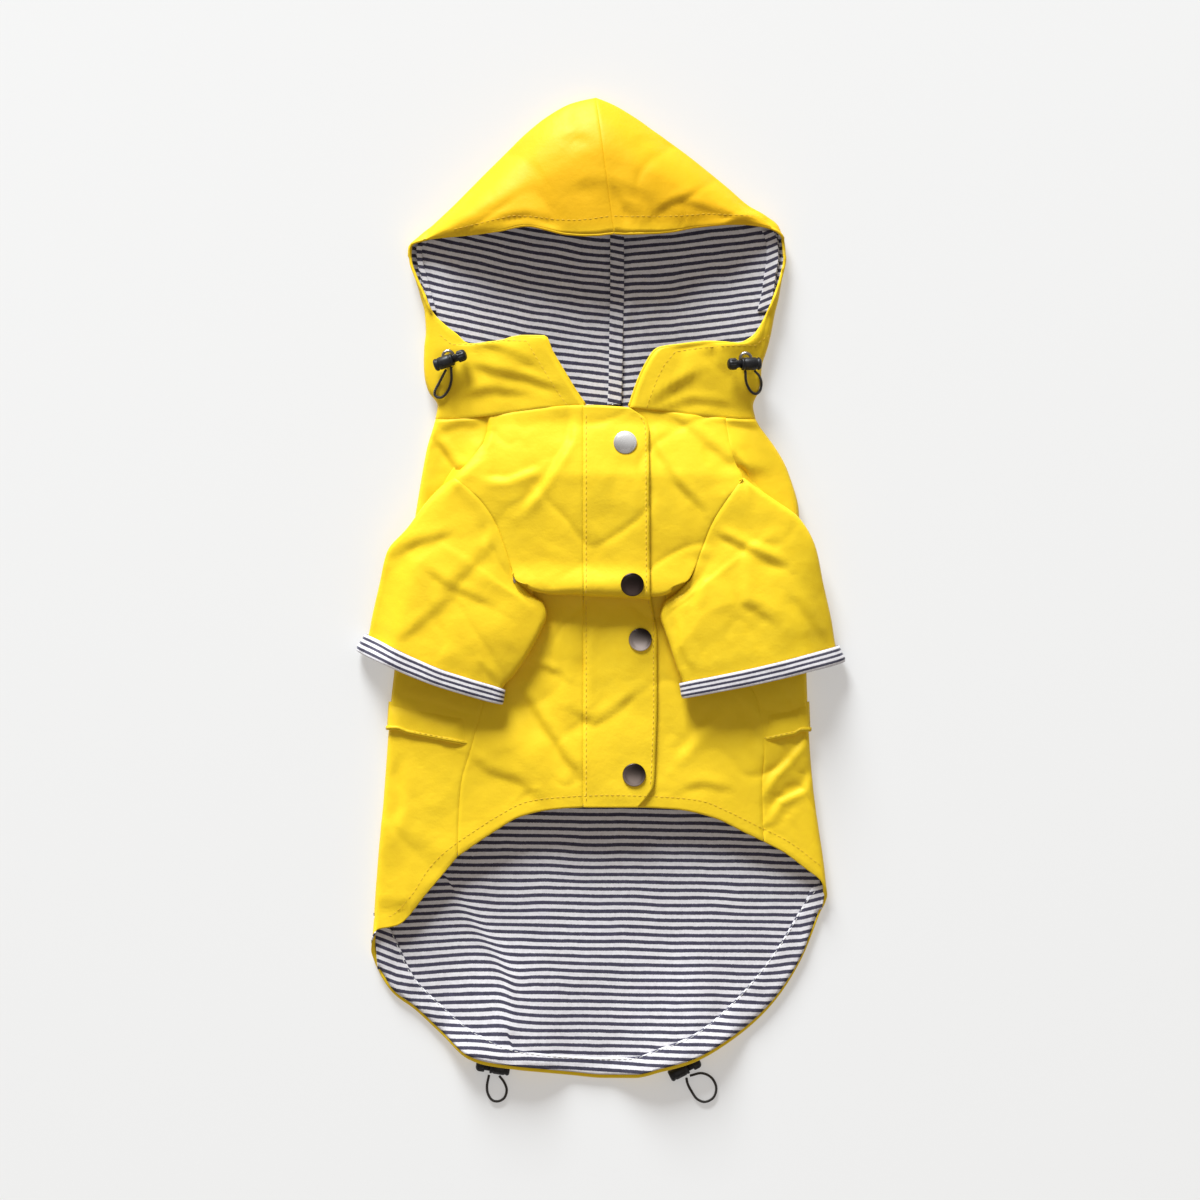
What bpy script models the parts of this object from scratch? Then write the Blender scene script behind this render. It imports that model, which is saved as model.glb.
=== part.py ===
"""A dog raincoat laid flat, belly side up: hood at +Y, back panel on the surface, front panels on top.

Lengths in the tables and functions are millimetres, and meshes are written in metres. The coat is a
flattened tube of cloth walls. Layers lie over each other, and each is worked out from the outside of
the cloth below it, moved in or out by an offset.
"""

import math
from collections import namedtuple

import bmesh
import bpy
import numpy as np
from mathutils import Matrix, Vector
from mathutils.bvhtree import BVHTree

# ---------------------------------------------------------------- driving dimensions, millimetres
MM = 0.001
CLOTH = 1.2  # outer cloth wall
LINING = 1.0  # striped lining wall
TRIM = 0.8  # facings, seam strip
SEAM_GAP = 0.3  # between pieces that are sewn edge to edge
LAYER_GAP = 0.35  # between pieces that lie on each other
FOLD_RADIUS = 4.0  # where the coat's sides turn up from the table
EDGE_SHOWN = 2.0  # yellow edge left beyond the striped hem facing

CHEST_LIFT = 8.0  # how far the chest stands over the belly at its fold
CHEST_LIFT_START = 97.0  # it starts to rise below the neck
CHEST_LIFT_RUN = 45.0
FOLD_TIP_RADIUS = 1.7
FOLD_CREASE_RADIUS = 2.3
FOLD_CREASE_Y = 5.0
PLACKET_LEFT = -9.4
SLEEVE_CLEARANCE = 2.2  # sleeve above the body it lies on
SLEEVE_FLOOR = 1.8  # lowest point of a sleeve beyond the body's side

SNAP_RADIUS = 6.4
SNAP_HEIGHT = 1.9
CORD_RADIUS = 0.9
LOCK_RADIUS = 3.5
LOCK_LENGTH = 11.0
LOCK_BORE_RADIUS = 2.5
LOCK_BORE_DEPTH = 9.2
PLUNGER_STEM_RADIUS = 2.2
PLUNGER_HEAD_RADIUS = 3.3
PLUNGER_HEAD_LENGTH = 5.0
PLUNGER_GAP = 2.8  # head to barrel, at rest
PLUNGER_INSERTED = 6.3
EYELET_RADIUS = 4.4
EYELET_HOLE_RADIUS = 2.2
HEM_LIFT = 7.3  # hem raised where it lies over a cord lock
HEM_LIFT_CORE = 5.5
HEM_LIFT_REACH = 26.0

# ---------------------------------------------------------------- tables, one row a section
# Sides of the body, side seams on the belly side, and height over the middle, from neck to hem.
BodyRow = namedtuple("BodyRow", "y left right seam_left seam_right height")
BODY = [
    BodyRow(102, -89.6, 83.4, -61.6, 68.0, 15.0),
    BodyRow(94, -90.8, 85.2, -62.2, 68.8, 15.0),
    BodyRow(87, -92.8, 89.8, -63.0, 69.8, 15.5),
    BodyRow(79, -95.2, 95.6, -66.3, 71.5, 15.5),
    BodyRow(70, -97.0, 101.0, -73.5, 74.5, 15.0),
    BodyRow(62, -98.4, 104.2, -80.0, 78.3, 14.5),
    BodyRow(45, -101.2, 108.8, -88.0, 92.0, 13.0),
    BodyRow(20, -105.0, 110.2, -88.0, 93.0, 12.2),
    BodyRow(5, -107.0, 111.0, -76.0, 80.0, 12.0),
    BodyRow(-5, -108.3, 111.4, -48.5, 48.5, 12.0),
    BodyRow(-27, -111.0, 112.5, -53.0, 60.0, 12.5),
    BodyRow(-60, -115.4, 113.7, -64.0, 86.0, 13.2),
    BodyRow(-87, -117.0, 114.8, -71.2, 89.9, 13.8),
    BodyRow(-107, -119.0, 116.5, -76.7, 88.8, 14.2),
    BodyRow(-137, -120.6, 120.5, -78.4, 89.4, 14.5),
    BodyRow(-162, -123.2, 125.1, -78.6, 89.6, 14.5),
    BodyRow(-187, -127.0, 126.2, -78.8, 89.8, 14.5),
]

# Armhole seam of the chest, from where the sleeve starts to the underarm.
ArmholeRow = namedtuple("ArmholeRow", "y left right")
ARMHOLE = [
    ArmholeRow(62, -80.0, 78.3),
    ArmholeRow(50, -66.5, 69.5),
    ArmholeRow(37, -57.6, 61.3),
    ArmholeRow(24, -52.5, 56.0),
    ArmholeRow(12, -48.6, 51.5),
    ArmholeRow(5.5, -46.4, 48.0),
]
CHEST_FOLD_LEFT = -40.0
CHEST_FOLD_RIGHT = 39.0

# Lower edge of the chest where it folds under, along Y at each X.
FoldPoint = namedtuple("FoldPoint", "x y")
FOLD = [
    FoldPoint(-40, 1.4),
    FoldPoint(-33, -1.4),
    FoldPoint(-23, -1.6),
    FoldPoint(-16, -0.8),
    FoldPoint(-8, -1.8),
    FoldPoint(5, -2.2),
    FoldPoint(18, -2.8),
    FoldPoint(29, -3.6),
    FoldPoint(34, -3.0),
    FoldPoint(39, -0.8),
]

# Neck edge of the front: height along Y at each X.
NeckPoint = namedtuple("NeckPoint", "x y")
NECK = [
    NeckPoint(-91, 94.3),
    NeckPoint(-86, 94.3),
    NeckPoint(-8.5, 101.8),
    NeckPoint(15.7, 100.7),
    NeckPoint(80.5, 94.3),
    NeckPoint(86, 94.3),
]

# Lower edge of the belly and the sides' upper layer, an arch from side to side.
ArchPoint = namedtuple("ArchPoint", "x y")
ARCH = [
    ArchPoint(-127, -187.5),
    ArchPoint(-111.4, -184.0),
    ArchPoint(-98.7, -171.3),
    ArchPoint(-89.4, -157.0),
    ArchPoint(-79.5, -147.1),
    ArchPoint(-66.3, -137.8),
    ArchPoint(-52.5, -129.0),
    ArchPoint(-37.1, -121.8),
    ArchPoint(-8.5, -119.1),
    ArchPoint(20.6, -119.1),
    ArchPoint(51.4, -121.3),
    ArchPoint(65.2, -126.2),
    ArchPoint(82.2, -134.5),
    ArchPoint(99.8, -143.3),
    ArchPoint(113.0, -153.2),
    ArchPoint(126, -163.5),
]

# Back hem, and the stitch line where its striped facing starts.
HemPoint = namedtuple("HemPoint", "x hem stitch")
HEM = [
    HemPoint(-123, -206.5, -176.0),
    HemPoint(-118.5, -217.0, -180.0),
    HemPoint(-104.8, -228.0, -209.3),
    HemPoint(-85.5, -245.6, -229.5),
    HemPoint(-69.0, -259.3, -242.5),
    HemPoint(-47.0, -263.2, -252.0),
    HemPoint(-20.1, -265.9, -255.5),
    HemPoint(0, -268.0, -256.5),
    HemPoint(16.8, -268.0, -256.3),
    HemPoint(32.2, -264.8, -251.5),
    HemPoint(49.8, -259.9, -244.5),
    HemPoint(69.0, -249.4, -230.0),
    HemPoint(88.3, -234.0, -208.7),
    HemPoint(103.7, -214.8, -186.5),
    HemPoint(113.0, -197.2, -170.5),
    HemPoint(121.5, -175.0, -160.0),
]

# Hood halves: one section from the centre seam under the hood (seam), out to the side fold (side),
# and back over the top to the edge of the opening (edge), from the neck to the peak.
HoodRow = namedtuple("HoodRow", "seam_x seam_y side_x side_y edge_x edge_y edge_height turned")
HOOD_LEFT = [
    HoodRow(6.9, 94.3, -90.8, 94.3, -8.5, 101.8, 15.0, 1.0),
    HoodRow(7.5, 102, -89.6, 101.5, -13.5, 109.0, 15.2, 1.0),
    HoodRow(8.0, 110, -94.6, 109.5, -20.5, 120.5, 15.5, 1.0),
    HoodRow(8.3, 118, -96.6, 116.5, -27.0, 131.5, 15.5, 1.0),
    HoodRow(8.4, 125, -97.1, 122.0, -31.1, 139.4, 15.0, 1.0),
    HoodRow(8.5, 130, -97.2, 126.0, -44.0, 139.6, 14.0, 1.0),
    HoodRow(8.5, 135, -97.1, 130.0, -57.5, 136.9, 13.0, 1.0),
    HoodRow(8.6, 140, -96.9, 134.5, -72.3, 135.4, 11.5, 1.0),
    HoodRow(8.7, 146, -96.1, 141.5, -79.5, 140.5, 10.5, 1.0),
    HoodRow(8.9, 155, -96.7, 152.5, -92.9, 152.5, 8.0, 0.95),
    HoodRow(9.1, 163, -99.3, 162.0, -96.0, 162.0, 8.0, 0.7),
    HoodRow(9.1, 173, -102.2, 172.5, -102.0, 172.5, 8.0, 0.3),
    HoodRow(9.1, 183, -104.6, 182.5, -104.6, 182.5, 8.0, 0.1),
    HoodRow(9.1, 190, -104.6, 190.0, -104.6, 190.0, 8.0, 0.3),
    HoodRow(9.1, 196, -99.3, 195.2, -95.0, 192.5, 8.0, 0.9),
    HoodRow(9.0, 202, -91.6, 201.6, -72.0, 195.0, 12.0, 1.0),
    HoodRow(8.5, 211, -81.1, 211.5, -55.8, 197.2, 17.0, 1.0),
    HoodRow(7.5, 221, -71.2, 221.4, -41.0, 199.9, 20.0, 1.0),
    HoodRow(6.0, 231, -61.3, 231.3, -30.0, 198.0, 22.5, 1.0),
    HoodRow(4.5, 241, -51.4, 241.2, -19.0, 195.5, 24.5, 1.0),
    HoodRow(2.5, 251, -41.0, 251.1, -8.5, 194.7, 25.5, 1.0),
    HoodRow(0.0, 259, -28.3, 261.0, -1.0, 194.9, 26.0, 1.0),
    HoodRow(-1.8, 264.3, -15.0, 268.0, 4.0, 195.5, 26.0, 1.0),
    HoodRow(-2.5, 266.9, -2.5, 270.9, 7.4, 195.8, 26.0, 1.0),
]
HOOD_RIGHT = [
    HoodRow(6.9, 94.3, 85.2, 94.3, 15.7, 100.7, 15.0, 1.0),
    HoodRow(7.5, 102, 83.8, 101.5, 18.0, 107.5, 15.2, 1.0),
    HoodRow(8.0, 110, 86.9, 109.5, 21.5, 117.0, 15.5, 1.0),
    HoodRow(8.3, 118, 88.2, 116.5, 25.5, 125.0, 15.5, 1.0),
    HoodRow(8.4, 125, 88.5, 122.0, 31.6, 132.8, 15.0, 1.0),
    HoodRow(8.5, 130, 89.3, 126.0, 44.8, 135.0, 14.0, 1.0),
    HoodRow(8.5, 135, 90.4, 129.0, 60.0, 136.5, 13.0, 1.0),
    HoodRow(8.6, 140, 92.0, 134.0, 75.6, 135.8, 11.5, 1.0),
    HoodRow(8.7, 146, 93.6, 140.5, 83.4, 139.2, 10.0, 1.0),
    HoodRow(8.9, 155, 95.9, 152.5, 92.0, 152.5, 8.0, 0.95),
    HoodRow(9.1, 163, 98.3, 162.0, 96.5, 162.0, 8.0, 0.7),
    HoodRow(9.1, 173, 99.9, 172.5, 99.8, 172.5, 8.0, 0.3),
    HoodRow(9.1, 183, 101.5, 183.0, 101.5, 183.0, 8.0, 0.1),
    HoodRow(9.1, 192, 100.9, 192.5, 100.9, 192.5, 8.0, 0.2),
    HoodRow(9.1, 199.5, 97.9, 200.2, 96.0, 200.2, 8.0, 0.85),
    HoodRow(9.0, 206, 90.0, 206.8, 79.5, 201.0, 10.5, 1.0),
    HoodRow(8.5, 212, 81.7, 211.5, 66.0, 200.7, 15.0, 1.0),
    HoodRow(7.5, 221, 70.1, 221.4, 52.0, 199.3, 19.0, 1.0),
    HoodRow(6.0, 231, 58.0, 231.3, 40.0, 197.0, 22.0, 1.0),
    HoodRow(4.5, 241, 45.4, 241.2, 30.0, 196.0, 24.0, 1.0),
    HoodRow(2.5, 251, 31.6, 251.1, 21.0, 195.7, 25.5, 1.0),
    HoodRow(0.0, 259, 17.3, 261.0, 13.5, 195.5, 26.0, 1.0),
    HoodRow(-1.8, 264.3, 6.0, 267.6, 10.0, 195.7, 26.0, 1.0),
    HoodRow(-2.5, 266.9, -2.5, 270.9, 7.4, 195.8, 26.0, 1.0),
]
HOOD_LINED_ROWS = 17  # the lining shows in the opening and a little under the crown
HOOD_FACED_ROWS = (9, 15)  # the facing shows where the opening's edge lies at the side fold

# Sleeves: flattened rings from the armhole seam to the end inside the cuff. Outer and inner are the
# two side folds, radius is half the height there, and loft is the extra height between them.
SleeveRow = namedtuple("SleeveRow", "outer_x outer_y inner_x inner_y radius loft armhole_share")
SLEEVE_LEFT = [
    SleeveRow(-86.0, 58.3, -39.0, -1.5, 2.6, 1.2, 0.5),
    SleeveRow(-94.0, 50.5, -31.0, -7.3, 2.6, 2.2, 0.2),
    SleeveRow(-106.0, 34.5, -29.4, -13.5, 2.6, 3.5, 0.0),
    SleeveRow(-117.2, 21.5, -32.6, -22.0, 2.6, 4.2, 0.0),
    SleeveRow(-121.4, 4.0, -39.0, -34.0, 2.6, 4.6, 0.0),
    SleeveRow(-125.8, -15.5, -47.5, -46.5, 2.6, 4.4, 0.0),
    SleeveRow(-127.6, -24.6, -53.8, -54.0, 2.5, 4.0, 0.0),
    SleeveRow(-132.7, -33.1, -55.0, -61.8, 2.5, 4.0, 0.0),
]
SLEEVE_RIGHT = [
    SleeveRow(85.0, 57.0, 41.8, -1.0, 2.6, 1.2, 0.5),
    SleeveRow(96.0, 49.5, 34.4, -7.3, 2.6, 2.2, 0.2),
    SleeveRow(109.0, 40.0, 32.9, -14.0, 2.6, 3.5, 0.0),
    SleeveRow(118.0, 24.0, 35.2, -22.5, 2.6, 4.2, 0.0),
    SleeveRow(122.5, 3.0, 38.6, -32.5, 2.6, 4.6, 0.0),
    SleeveRow(127.0, -17.0, 42.1, -43.5, 2.6, 4.4, 0.0),
    SleeveRow(129.3, -30.8, 44.9, -50.6, 2.5, 4.0, 0.0),
    SleeveRow(133.1, -38.9, 46.2, -58.5, 2.5, 4.0, 0.0),
]

# Right edge of the placket, from the neck to the hem.
PlacketPoint = namedtuple("PlacketPoint", "y right")
PLACKET = [
    PlacketPoint(101, 15.7),
    PlacketPoint(94, 25.2),
    PlacketPoint(87, 26.7),
    PlacketPoint(0, 27.2),
    PlacketPoint(-8, 28.8),
    PlacketPoint(-16, 31.1),
    PlacketPoint(-60, 31.1),
    PlacketPoint(-91, 30.2),
    PlacketPoint(-107, 29.3),
    PlacketPoint(-113, 26.0),
    PlacketPoint(-119, 20.6),
]

# Pocket flaps on the side panels: upper and lower edge at each X.
FlapPoint = namedtuple("FlapPoint", "x upper lower")
FLAP_LEFT = [FlapPoint(-118, -60.5, -76.0), FlapPoint(-102, -63.0, -79.6), FlapPoint(-72.5, -68.2, -85.3)]
FLAP_RIGHT = [FlapPoint(89.0, -66.3, -83.3), FlapPoint(101.5, -63.7, -80.6), FlapPoint(116, -60.8, -77.3)]

# Largest soft creases of the upper cloth: troughs along a line.
Crease = namedtuple("Crease", "x0 y0 x1 y1 depth width")
CREASES = [
    Crease(-70, 55, -102, 30, 2.2, 7.0),
    Crease(-17, 84, -44, 48, 1.6, 7.0),
    Crease(-66, 57, -38, 68, 1.4, 6.0),
    Crease(62, 32, 106, 9, 2.0, 6.0),
    Crease(24, 91, 45, 53, 1.4, 6.0),
    Crease(44, 91, 80, 78, 1.8, 7.0),
    Crease(-47, -52, -14, -100, 1.4, 8.0),
    Crease(110, -80, 92, -100, 1.4, 7.0),
]

SnapPlace = namedtuple("SnapPlace", "x y")
SNAPS = [SnapPlace(13.5, 81.1), SnapPlace(17.4, 3.2), SnapPlace(21.8, -27.0), SnapPlace(18.4, -101.2)]

# Cord locks: middle of the barrel, direction from barrel to plunger in degrees, how far it settles
# between the high spots under it, what it lies on.
LockPlace = namedtuple("LockPlace", "name x y heading settle on")
LOCKS = [
    LockPlace("hood_left", -86.0, 125.2, 20.0, 0.4, ("hood_left", "eyelet_left")),
    LockPlace("hood_right", 82.6, 124.4, 181.0, 0.65, ("hood_right", "eyelet_right")),
    LockPlace("hem_left", -55.3, -262.6, 172.0, 0.0, ()),
    LockPlace("hem_right", 42.9, -264.6, 27.0, 0.0, ()),
]
EyeletPlace = namedtuple("EyeletPlace", "name x y")
EYELETS = [EyeletPlace("left", -83.6, 128.6), EyeletPlace("right", 79.6, 127.4)]

# Loops of drawcord from lock back to lock: each point's height is above what lies under it.
CORDS = {
    "hood_left": [
        (-84.9, 121.0, 4.4),
        (-88.3, 114.7, 0.3),
        (-91.0, 109.4, 0.3),
        (-90.4, 106.6, 0.3),
        (-87.0, 106.2, 0.3),
        (-83.6, 110.0, 0.3),
        (-81.9, 115.6, 0.4),
        (-82.0, 122.5, 4.0),
    ],
    "hood_right": [
        (79.4, 120.5, 4.6),
        (80.0, 114.4, 0.6),
        (82.4, 109.6, 0.3),
        (85.2, 108.0, 0.3),
        (87.6, 109.8, 0.3),
        (88.4, 114.2, 0.3),
        (87.0, 118.0, 2.4),
        (84.6, 120.5, 4.6),
    ],
    "hem_left": [
        (-61.3, -266.4, 1.7),
        (-62.4, -272.0, 0.3),
        (-62.0, -276.5, 0.2),
        (-59.6, -280.2, 0.2),
        (-56.0, -280.8, 0.2),
        (-52.8, -278.8, 0.2),
        (-51.6, -274.6, 0.2),
        (-53.0, -270.4, 0.5),
        (-55.6, -266.9, 1.9),
    ],
    "hem_right": [
        (49.2, -266.7, 1.7),
        (55.6, -265.4, 0.3),
        (60.9, -267.8, 0.2),
        (63.6, -273.1, 0.2),
        (62.2, -278.6, 0.2),
        (57.6, -281.2, 0.2),
        (53.0, -279.5, 0.2),
        (49.8, -275.0, 0.2),
        (47.9, -271.2, 0.4),
        (47.2, -268.0, 1.6),
    ],
}


# ---------------------------------------------------------------- small maths
def ease(value):
    """0 below 0, 1 above 1, and a smooth step between."""
    value = min(max(value, 0.0), 1.0)
    return value * value * (3.0 - 2.0 * value)


def mix(first, second, share):
    return first + (second - first) * share


def through(table, key, column, value):
    """The column's value on a smooth curve through the table's rows, held level past its ends."""
    rows = sorted(table, key=lambda row: getattr(row, key))
    keys = [getattr(row, key) for row in rows]
    values = [getattr(row, column) for row in rows]
    value = min(max(value, keys[0]), keys[-1])
    index = min(max(int(np.searchsorted(keys, value)) - 1, 0), len(keys) - 2)
    slopes = [(b - a) / (kb - ka) for a, b, ka, kb in zip(values, values[1:], keys, keys[1:])]

    def tangent(at):
        if at == 0 or at == len(keys) - 1:
            return slopes[min(at, len(slopes) - 1)]
        before, after = slopes[at - 1], slopes[at]
        return 0.0 if before * after <= 0 else 2 * before * after / (before + after)

    step = keys[index + 1] - keys[index]
    t = (value - keys[index]) / step
    start, end = values[index], values[index + 1]
    return (
        (2 * t**3 - 3 * t**2 + 1) * start
        + (t**3 - 2 * t**2 + t) * step * tangent(index)
        + (3 * t**2 - 2 * t**3) * end
        + (t**3 - t**2) * step * tangent(index + 1)
    )


def smooth_route(points, spacing):
    """Points at an even spacing on a Catmull-Rom curve through the route."""
    points = [Vector(p) for p in points]
    ends = [points[0] * 2 - points[1]] + points + [points[-1] * 2 - points[-2]]
    fine = []
    for p0, p1, p2, p3 in zip(ends, ends[1:], ends[2:], ends[3:]):
        for t in np.linspace(0, 1, 24, endpoint=False):
            fine.append(
                0.5 * (2 * p1 + (p2 - p0) * t + (2 * p0 - 5 * p1 + 4 * p2 - p3) * t**2
                       + (3 * p1 - p0 - 3 * p2 + p3) * t**3)
            )
    fine.append(points[-1])
    lengths = np.cumsum([0.0] + [(b - a).length for a, b in zip(fine, fine[1:])])
    wanted = np.linspace(0, lengths[-1], max(int(lengths[-1] / spacing) + 1, 4))
    return [
        Vector([np.interp(at, lengths, [p[axis] for p in fine]) for axis in range(3)])
        for at in wanted
    ]


# ---------------------------------------------------------------- heights of the body
def side_left(y):
    return through(BODY, "y", "left", y)


def side_right(y):
    return through(BODY, "y", "right", y)


def body_top(x, y):
    """Outside height of the body's upper cloth, without creases or the chest's lift."""
    left = side_left(y) + FOLD_RADIUS
    right = side_right(y) - FOLD_RADIUS
    inward = (x - left) / -left if x < 0 else (right - x) / right
    inward = min(max(inward, 0.0), 1.0)
    rise = 1.0 - (1.0 - inward) ** 2.2
    return 2 * FOLD_RADIUS + (through(BODY, "y", "height", y) - 2 * FOLD_RADIUS) * rise


def chest_lift(y):
    return CHEST_LIFT * ease((CHEST_LIFT_START - y) / CHEST_LIFT_RUN)


def crease_depth(x, y):
    """Depth of the soft creases at a point, always downwards."""
    total = 0.0
    for c in CREASES:
        run = Vector((c.x1 - c.x0, c.y1 - c.y0))
        offset = Vector((x - c.x0, y - c.y0))
        share = min(max(offset.dot(run) / run.length_squared, 0.0), 1.0)
        away = (offset - run * share).length
        total += c.depth * math.exp(-((away / c.width) ** 2))
    return total


def hem_lift(x, y):
    """How far the hem is raised over the two cord locks that lie under it."""
    lift = 0.0
    for lock in LOCKS[2:]:
        heading = math.radians(lock.heading)
        along = Vector((math.cos(heading), math.sin(heading)))
        offset = Vector((x - lock.x, y - lock.y)) - along * (LOCK_LENGTH / 4)
        share = min(max(offset.dot(along), -LOCK_LENGTH), LOCK_LENGTH)
        away = max((offset - along * share).length - HEM_LIFT_CORE, 0.0)
        lift = max(lift, HEM_LIFT * ease(1.0 - away / HEM_LIFT_REACH))
    return lift


def sleeve_floor(x, y):
    """Height of a sleeve's underside: on the body, and drooping past the body's side."""
    beyond = max(side_left(y) - x, x - side_right(y))
    return mix(body_top(x, y) + SLEEVE_CLEARANCE, SLEEVE_FLOOR, ease((beyond - 3.0) / 14.0))


def outline_normals(points, left_hand):
    """Outward direction at each point of an outline, on its left or its right hand."""
    normals = []
    for index, point in enumerate(points):
        run = Vector((0, 0))
        if index > 0:
            run += (point - points[index - 1]).normalized()
        if index < len(points) - 1:
            run += (points[index + 1] - point).normalized()
        run.normalize()
        normals.append(Vector((-run.y, run.x)) if left_hand else Vector((run.y, -run.x)))
    return normals


# ---------------------------------------------------------------- meshes
SHORTER_DIAGONAL = 0.7


def material(name, colour, roughness, metallic=0.0):
    made = bpy.data.materials.new(name)
    made.use_nodes = True
    shader = made.node_tree.nodes["Principled BSDF"]
    shader.inputs["Base Color"].default_value = (*colour, 1.0)
    shader.inputs["Roughness"].default_value = roughness
    shader.inputs["Metallic"].default_value = metallic
    return made


def add_object(name, bm, finish, smooth_angle=math.radians(40)):
    bmesh.ops.remove_doubles(bm, verts=bm.verts, dist=0.02 * MM)
    bmesh.ops.dissolve_degenerate(bm, edges=bm.edges, dist=0.01 * MM)
    bmesh.ops.recalc_face_normals(bm, faces=bm.faces)
    mesh = bpy.data.meshes.new(name)
    bm.to_mesh(mesh)
    bm.free()
    made = bpy.data.objects.new(name, mesh)
    bpy.context.scene.collection.objects.link(made)
    mesh.materials.append(finish)
    mesh.shade_smooth()
    mesh.set_sharp_from_angle(angle=smooth_angle)
    return made


def wall(name, outside, inside, finish, ring=False):
    """A closed cloth wall between two grids of points, rows by columns. A ring joins its columns."""
    outside = np.asarray(outside, float) * MM
    inside = np.asarray(inside, float) * MM
    rows, columns = outside.shape[:2]
    bm = bmesh.new()
    layers = [[[bm.verts.new(p) for p in row] for row in layer] for layer in (outside, inside)]

    def face(*corners):
        if len({tuple(round(v, 7) for v in c.co) for c in corners}) == 3:
            bm.faces.new(corners)

    def panel(row, column, after):
        """Two triangles a layer on one grid cell, cut across its clearly shorter diagonal."""
        cell = [(row, column), (row + 1, column), (row + 1, after), (row, after)]
        usual = np.linalg.norm(outside[cell[0]] - outside[cell[2]])
        other = np.linalg.norm(outside[cell[1]] - outside[cell[3]])
        if other < SHORTER_DIAGONAL * usual:
            cell = cell[1:] + cell[:1]
        for layer in layers:
            corners = [layer[at[0]][at[1]] for at in cell]
            face(corners[0], corners[1], corners[2])
            face(corners[0], corners[2], corners[3])

    last = columns if ring else columns - 1
    for row in range(rows - 1):
        for column in range(last):
            panel(row, column, (column + 1) % columns)
    edge = [((row, column), (row, (column + 1) % columns)) for row in (0, rows - 1) for column in range(last)]
    if not ring:
        edge += [((row, column), (row + 1, column)) for column in (0, columns - 1) for row in range(rows - 1)]
    for (row_a, column_a), (row_b, column_b) in edge:
        out_a, out_b = layers[0][row_a][column_a], layers[0][row_b][column_b]
        in_a, in_b = layers[1][row_a][column_a], layers[1][row_b][column_b]
        face(out_a, out_b, in_b)
        face(out_a, in_b, in_a)
    return add_object(name, bm, finish)


def turned(name, profile, finish, segments, place=Matrix.Identity(4)):
    """A solid of revolution about Z. The profile's rows are radius and height; a ring profile closes."""
    bm = bmesh.new()
    rings = []
    for radius, height in profile:
        if radius == 0:
            rings.append([bm.verts.new((0, 0, height * MM))])
            continue
        turn = [2 * math.pi * step / segments for step in range(segments)]
        rings.append([bm.verts.new((radius * math.cos(a) * MM, radius * math.sin(a) * MM, height * MM)) for a in turn])
    pairs = list(zip(rings, rings[1:]))
    if len(rings[0]) > 1:
        pairs.append((rings[-1], rings[0]))
    for lower, upper in pairs:
        for step in range(segments):
            after = (step + 1) % segments
            corners = [lower[step % len(lower)], lower[after % len(lower)]]
            corners += [upper[after % len(upper)], upper[step % len(upper)]]
            bm.faces.new(list(dict.fromkeys(corners)))
    made = add_object(name, bm, finish)
    made.matrix_world = place
    return made


def surfaces(*names):
    """Search trees of the named pieces, to lay others on them."""
    trees = []
    for name in names:
        made = bpy.data.objects[name]
        points = [made.matrix_world @ v.co for v in made.data.vertices]
        trees.append(BVHTree.FromPolygons(points, [p.vertices[:] for p in made.data.polygons]))
    return trees


def top_height(trees, x, y, reach):
    """Highest point of the surfaces within a reach of a place, or the table where there is none."""
    highest = 0.0
    rim = [(math.cos(turn * math.pi / 8) * reach, math.sin(turn * math.pi / 8) * reach) for turn in range(16)]
    for tree in trees:
        for away_x, away_y in rim + [(0.0, 0.0)]:
            start = Vector(((x + away_x) * MM, (y + away_y) * MM, 1.0))
            hit = tree.ray_cast(start, Vector((0, 0, -1)))[0]
            if hit is not None:
                highest = max(highest, hit.z / MM)
    return highest


# ---------------------------------------------------------------- back, its lining and hem facing
CHEST_SEAM_ROWS = [87, 79, 70, 62]
BACK_FLAT_ROWS = CHEST_SEAM_ROWS + [45, 20, 5, -27, -60, -87, -115]
SIDE_ROWS = CHEST_SEAM_ROWS + [45, 20, 5, -5, -27, -60, -87]
LAST_SEAM_ROW = -107
BACK_COLUMNS = [0, 0.03, 0.08, 0.14, 0.2, 0.235, 0.262, 0.29, 0.32, 0.37, 0.44, 0.51, 0.58, 0.64,
                0.68, 0.71, 0.74, 0.78, 0.84, 0.9, 0.96, 1.0]
NOSE_STEPS = 4
SIDE_SHARES = [0.25, 0.6, 1.0]
LINED_FROM = 10  # back lining starts at this row, well inside the belly's edge


def back_flat_x(share, y):
    """X of a column under the coat. Past the sides' ends the columns run straight to the hem."""
    held = max(y, -178.0)
    return mix(side_left(held) + FOLD_RADIUS, side_right(max(held, -158.0)) - FOLD_RADIUS, share)


def back_flat_column(share):
    """(x, y) down one column, from the neck to the hem."""
    x_end = back_flat_x(share, -200.0)
    hem = through(HEM, "x", "hem", x_end)
    stitch = through(HEM, "x", "stitch", x_end)
    ys = [94.0, 90.5] + BACK_FLAT_ROWS + [mix(-115.0, stitch, 0.5), stitch, hem + EDGE_SHOWN, hem]
    return [(back_flat_x(share, y), y) for y in ys]


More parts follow.
